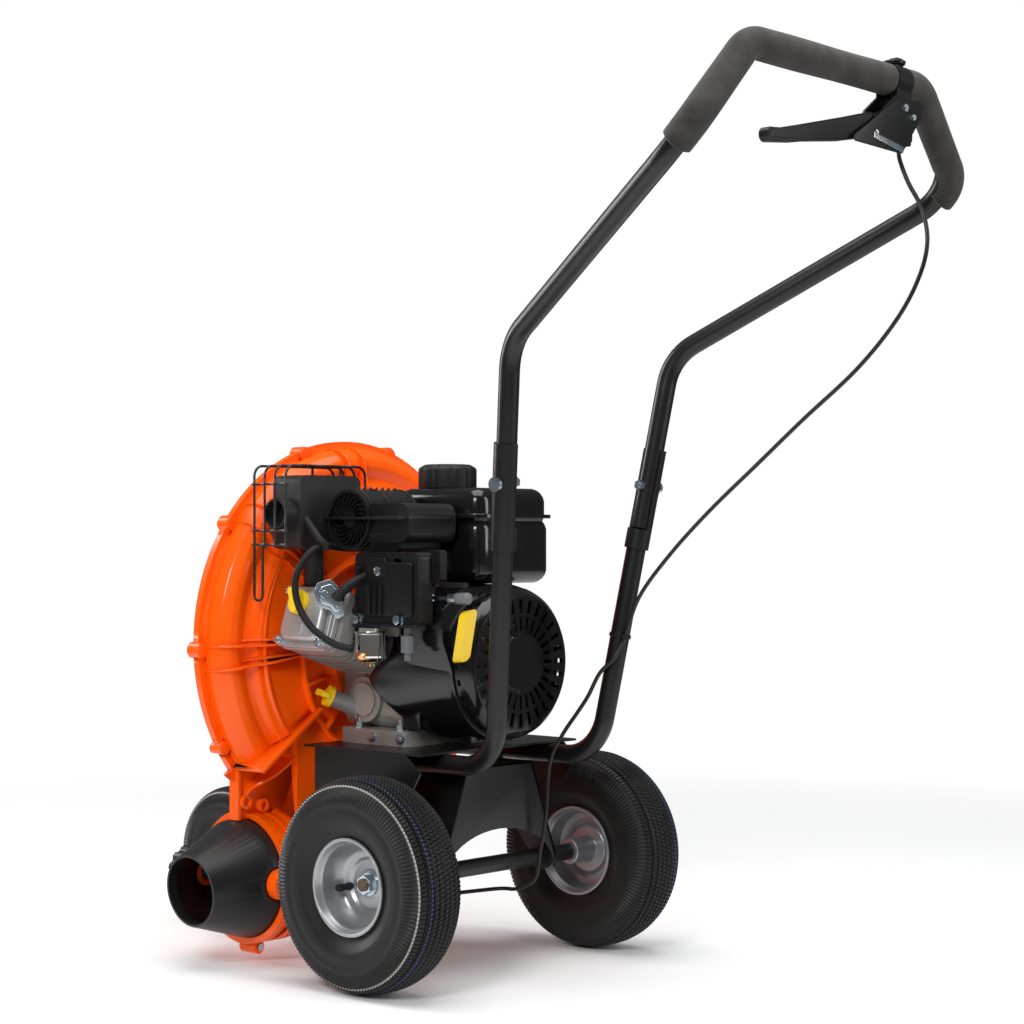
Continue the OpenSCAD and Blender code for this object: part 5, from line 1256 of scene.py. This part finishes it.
# %% Lever plate, rivets and the filled paddle


def by_lever(x, y, z):
    """A point measured from the crossbar's axis at the lever."""
    return (LEVER_X + x, BAR_Y + y, BAR_Z + z)


def bar_outline(corners):
    """An outline (x, z) measured from the crossbar's axis at the lever."""
    return [(LEVER_X + x, BAR_Z + z) for x, z in corners]


cheek = soft_corners([(118, -85), (20, -27), (-30, -20), (-35, -40), (8, -88)], [4, 9, 6, 8, 6], 5)
cheek = plate("cheek", bar_outline(cheek), (0, BAR_Y + 17.2, 0), *FORWARDS, 2.2, 0.6)
BUTTON = [(0, 0), (13, 0), (14, 4.5), (0, 7.4)]
button = lathed("button", BUTTON, [0, 1, 1.5, 0], by_lever(-6, -3, 20), (0, 0, 1), 36)
joined("lever_plate", [cheek, button], SATIN, "lever_bracket")
rivets = []
for x, z, size in ((-1, -33, 4.6), (-18, -42, 3.8), (62, -70, 3.2)):
    profile = [(0, 0), (size, 0), (size, 1.2), (size * 0.6, 2.6), (0, 2.9)]
    rivets.append(lathed("rivet", profile, [0, 0.2, 0.5, 0.5, 0], by_lever(x, 16.8, z), (0, 1, 0), 28))
link = bar_outline([(70, -77), (8, -87), (8, -80), (70, -71)])
link = plate("link", link, (0, BAR_Y + 19, 0), *FORWARDS, 1.6, 0.4)
joined("lever_rivets", rivets + [link], ZINC, "lever_bracket")
FILL = [(60, -45), (96, -54), (190, -76), (252, -90), (258, -101), (190, -95), (110, -84), (60, -74)]
fill = bar_outline(soft_corners(FILL, [2, 20, 60, 4, 4, 60, 20, 2], 6))
filled = plate("fill", fill, (0, BAR_Y + 11.4, 0), *FORWARDS, 22.8, 2.6, 5)
reshape(filled.data, slender)
fitted(filled, SATIN, BODY_OF["lever"], SLOT_OF["lever"])
print("lever dressed")

# %% Heat shield of thin stamped sheet, with two bolts
SHIELD_ACROSS, SHIELD_UP = np.array([-0.8, 0.6, 0]), np.array([0, 0, 1.0])
SHIELD_OUT = np.array([0.6, 0.8, 0])
shield_at = np.array([182.0, -88, 484])
leaf = [(-30, 8), (-25, 20), (-8, 25), (1, 15), (6, 2), (10, -20), (0, -27), (-8, -15), (-24, -10)]
raised = [(u * 0.72 - 2, v * 0.72 + 1) for u, v in leaf]
shield = []
for line, corner, lift, thick, edge in ((leaf, 3.5, 0, 1.6, 0.5), (raised, 2.5, 1.2, 2.4, 1.2)):
    place = shield_at + lift * SHIELD_OUT
    shield.append(plate("sheet", soft_corners(line, corner, 5), place, SHIELD_ACROSS, SHIELD_UP, thick, edge))
joined("heat_shield_sheet", shield, ZINC, "heat_shield", "heat_shield")
heads = []
for u, v in ((-17, 6), (2, -7)):
    place = shield_at + u * SHIELD_ACROSS + v * SHIELD_UP + 3.4 * SHIELD_OUT
    heads.append(hex_bolt(place, SHIELD_OUT, 9, 5, 1.5))
joined("shield_bolts", heads, ZINC, "heat_shield")

# %% Breather hose as one curve
BREATHER = [(134.4, -129, 548), (166, -128, 550), (192, -126, 543), (206, -133, 522), (209, -137, 499),
            (207, -131, 472), (201, -113, 446), (187, -89, 427), (171, -69.5, 420)]
hose("breather_curve", BREATHER, 4.5, "breather_hose")
print("shield and hose on")

# %% [markdown]
# ## The studio
# The machine stands on a plain pale floor that fades out at its rim. A broad soft light hangs overhead. One
# long light stands in front of the machine and one behind it, which draw a bright edge on the tubes and the
# orange curve. A smaller one stands on the left, and a pale world fills the shadows.

# %% Floor
ring = np.linspace(0, 2 * np.pi, 128, endpoint=False)
radii = np.array([0.0, 0.6, 1.2, 1.9, 2.6])[:, None]
floor_points = np.stack([radii * np.cos(ring), radii * np.sin(ring), np.full((5, 128), -0.0005)], -1)
floor = skin("floor", floor_points, False, True)
if floor.data.polygons[0].normal.z < 0:
    floor.data.flip_normals()
pale = bpy.data.materials.new("pale_floor")
pale.use_nodes = True
tree = pale.node_tree
shader, output = tree.nodes["Principled BSDF"], tree.nodes["Material Output"]
shader.inputs["Base Color"].default_value = (0.94, 0.94, 0.94, 1)
shader.inputs["Roughness"].default_value = 0.6
clear = tree.nodes.new("ShaderNodeBsdfTransparent")
blend = tree.nodes.new("ShaderNodeMixShader")
place = tree.nodes.new("ShaderNodeTexCoord")
far = tree.nodes.new("ShaderNodeVectorMath")
far.operation = "LENGTH"
tree.links.new(place.outputs["Object"], far.inputs[0])
fade = tree.nodes.new("ShaderNodeMapRange")
fade.inputs["From Min"].default_value, fade.inputs["From Max"].default_value = 1.0, 2.4
tree.links.new(far.outputs["Value"], fade.inputs["Value"])
tree.links.new(fade.outputs[0], blend.inputs[0])
tree.links.new(shader.outputs[0], blend.inputs[1])
tree.links.new(clear.outputs[0], blend.inputs[2])
tree.links.new(blend.outputs[0], output.inputs["Surface"])
floor.data.materials.append(pale)
print("floor laid")

# %% Lights
centre = Vector((0, 0, 0.45))


def soft_light(name, place, size, power):
    """A white area light at a place, turned to look at the middle of the machine."""
    data = bpy.data.lights.new(name, "AREA")
    data.shape, data.size, data.size_y = "RECTANGLE", size[0], size[1]
    data.energy = power
    lamp = bpy.data.objects.new(name, data)
    lamp.location = place
    lamp.rotation_euler = (centre - Vector(place)).to_track_quat("-Z", "Y").to_euler()
    bpy.context.scene.collection.objects.link(lamp)


soft_light("overhead", (0.2, 0.2, 3.0), (2.6, 2.6), 75)
soft_light("left_side", (1.0, -3.2, 1.7), (1.0, 2.4), 70)
soft_light("right_side", (-1.3, 3.0, 1.6), (1.0, 2.4), 45)
soft_light("front_fill", (3.0, 1.2, 2.2), (0.9, 0.9), 60)
world = bpy.data.worlds.new("studio")
bpy.context.scene.world = world
world.use_nodes = True
tree = world.node_tree
sky = tree.nodes["Background"]
sky.inputs["Color"].default_value, sky.inputs["Strength"].default_value = (1, 1, 1, 1), 1.0
dim = tree.nodes.new("ShaderNodeBackground")
dim.inputs["Color"].default_value = (0.95, 0.97, 1, 1)
seen = tree.nodes.new("ShaderNodeLightPath")
chosen = tree.nodes.new("ShaderNodeMixShader")
tree.links.new(seen.outputs["Is Camera Ray"], chosen.inputs[0])
softer = tree.nodes.new("ShaderNodeMath")
softer.operation = "MULTIPLY_ADD"
softer.inputs[1].default_value, softer.inputs[2].default_value = -0.16, 0.28
tree.links.new(seen.outputs["Is Glossy Ray"], softer.inputs[0])
tree.links.new(softer.outputs[0], dim.inputs["Strength"])
tree.links.new(dim.outputs[0], chosen.inputs[1])
tree.links.new(sky.outputs[0], chosen.inputs[2])
tree.links.new(chosen.outputs[0], tree.nodes["World Output"].inputs["Surface"])
bpy.context.scene.view_settings.view_transform = "Standard"
print("four lights and a pale world")

# %% [markdown]
# ## Last look at the sizes
# The dressed machine has to fill the same box as its solids. The solids' box is written down.

# %% Sizes and end
print("solid box", [[round(c, 4) for c in v] for v in solid_box])
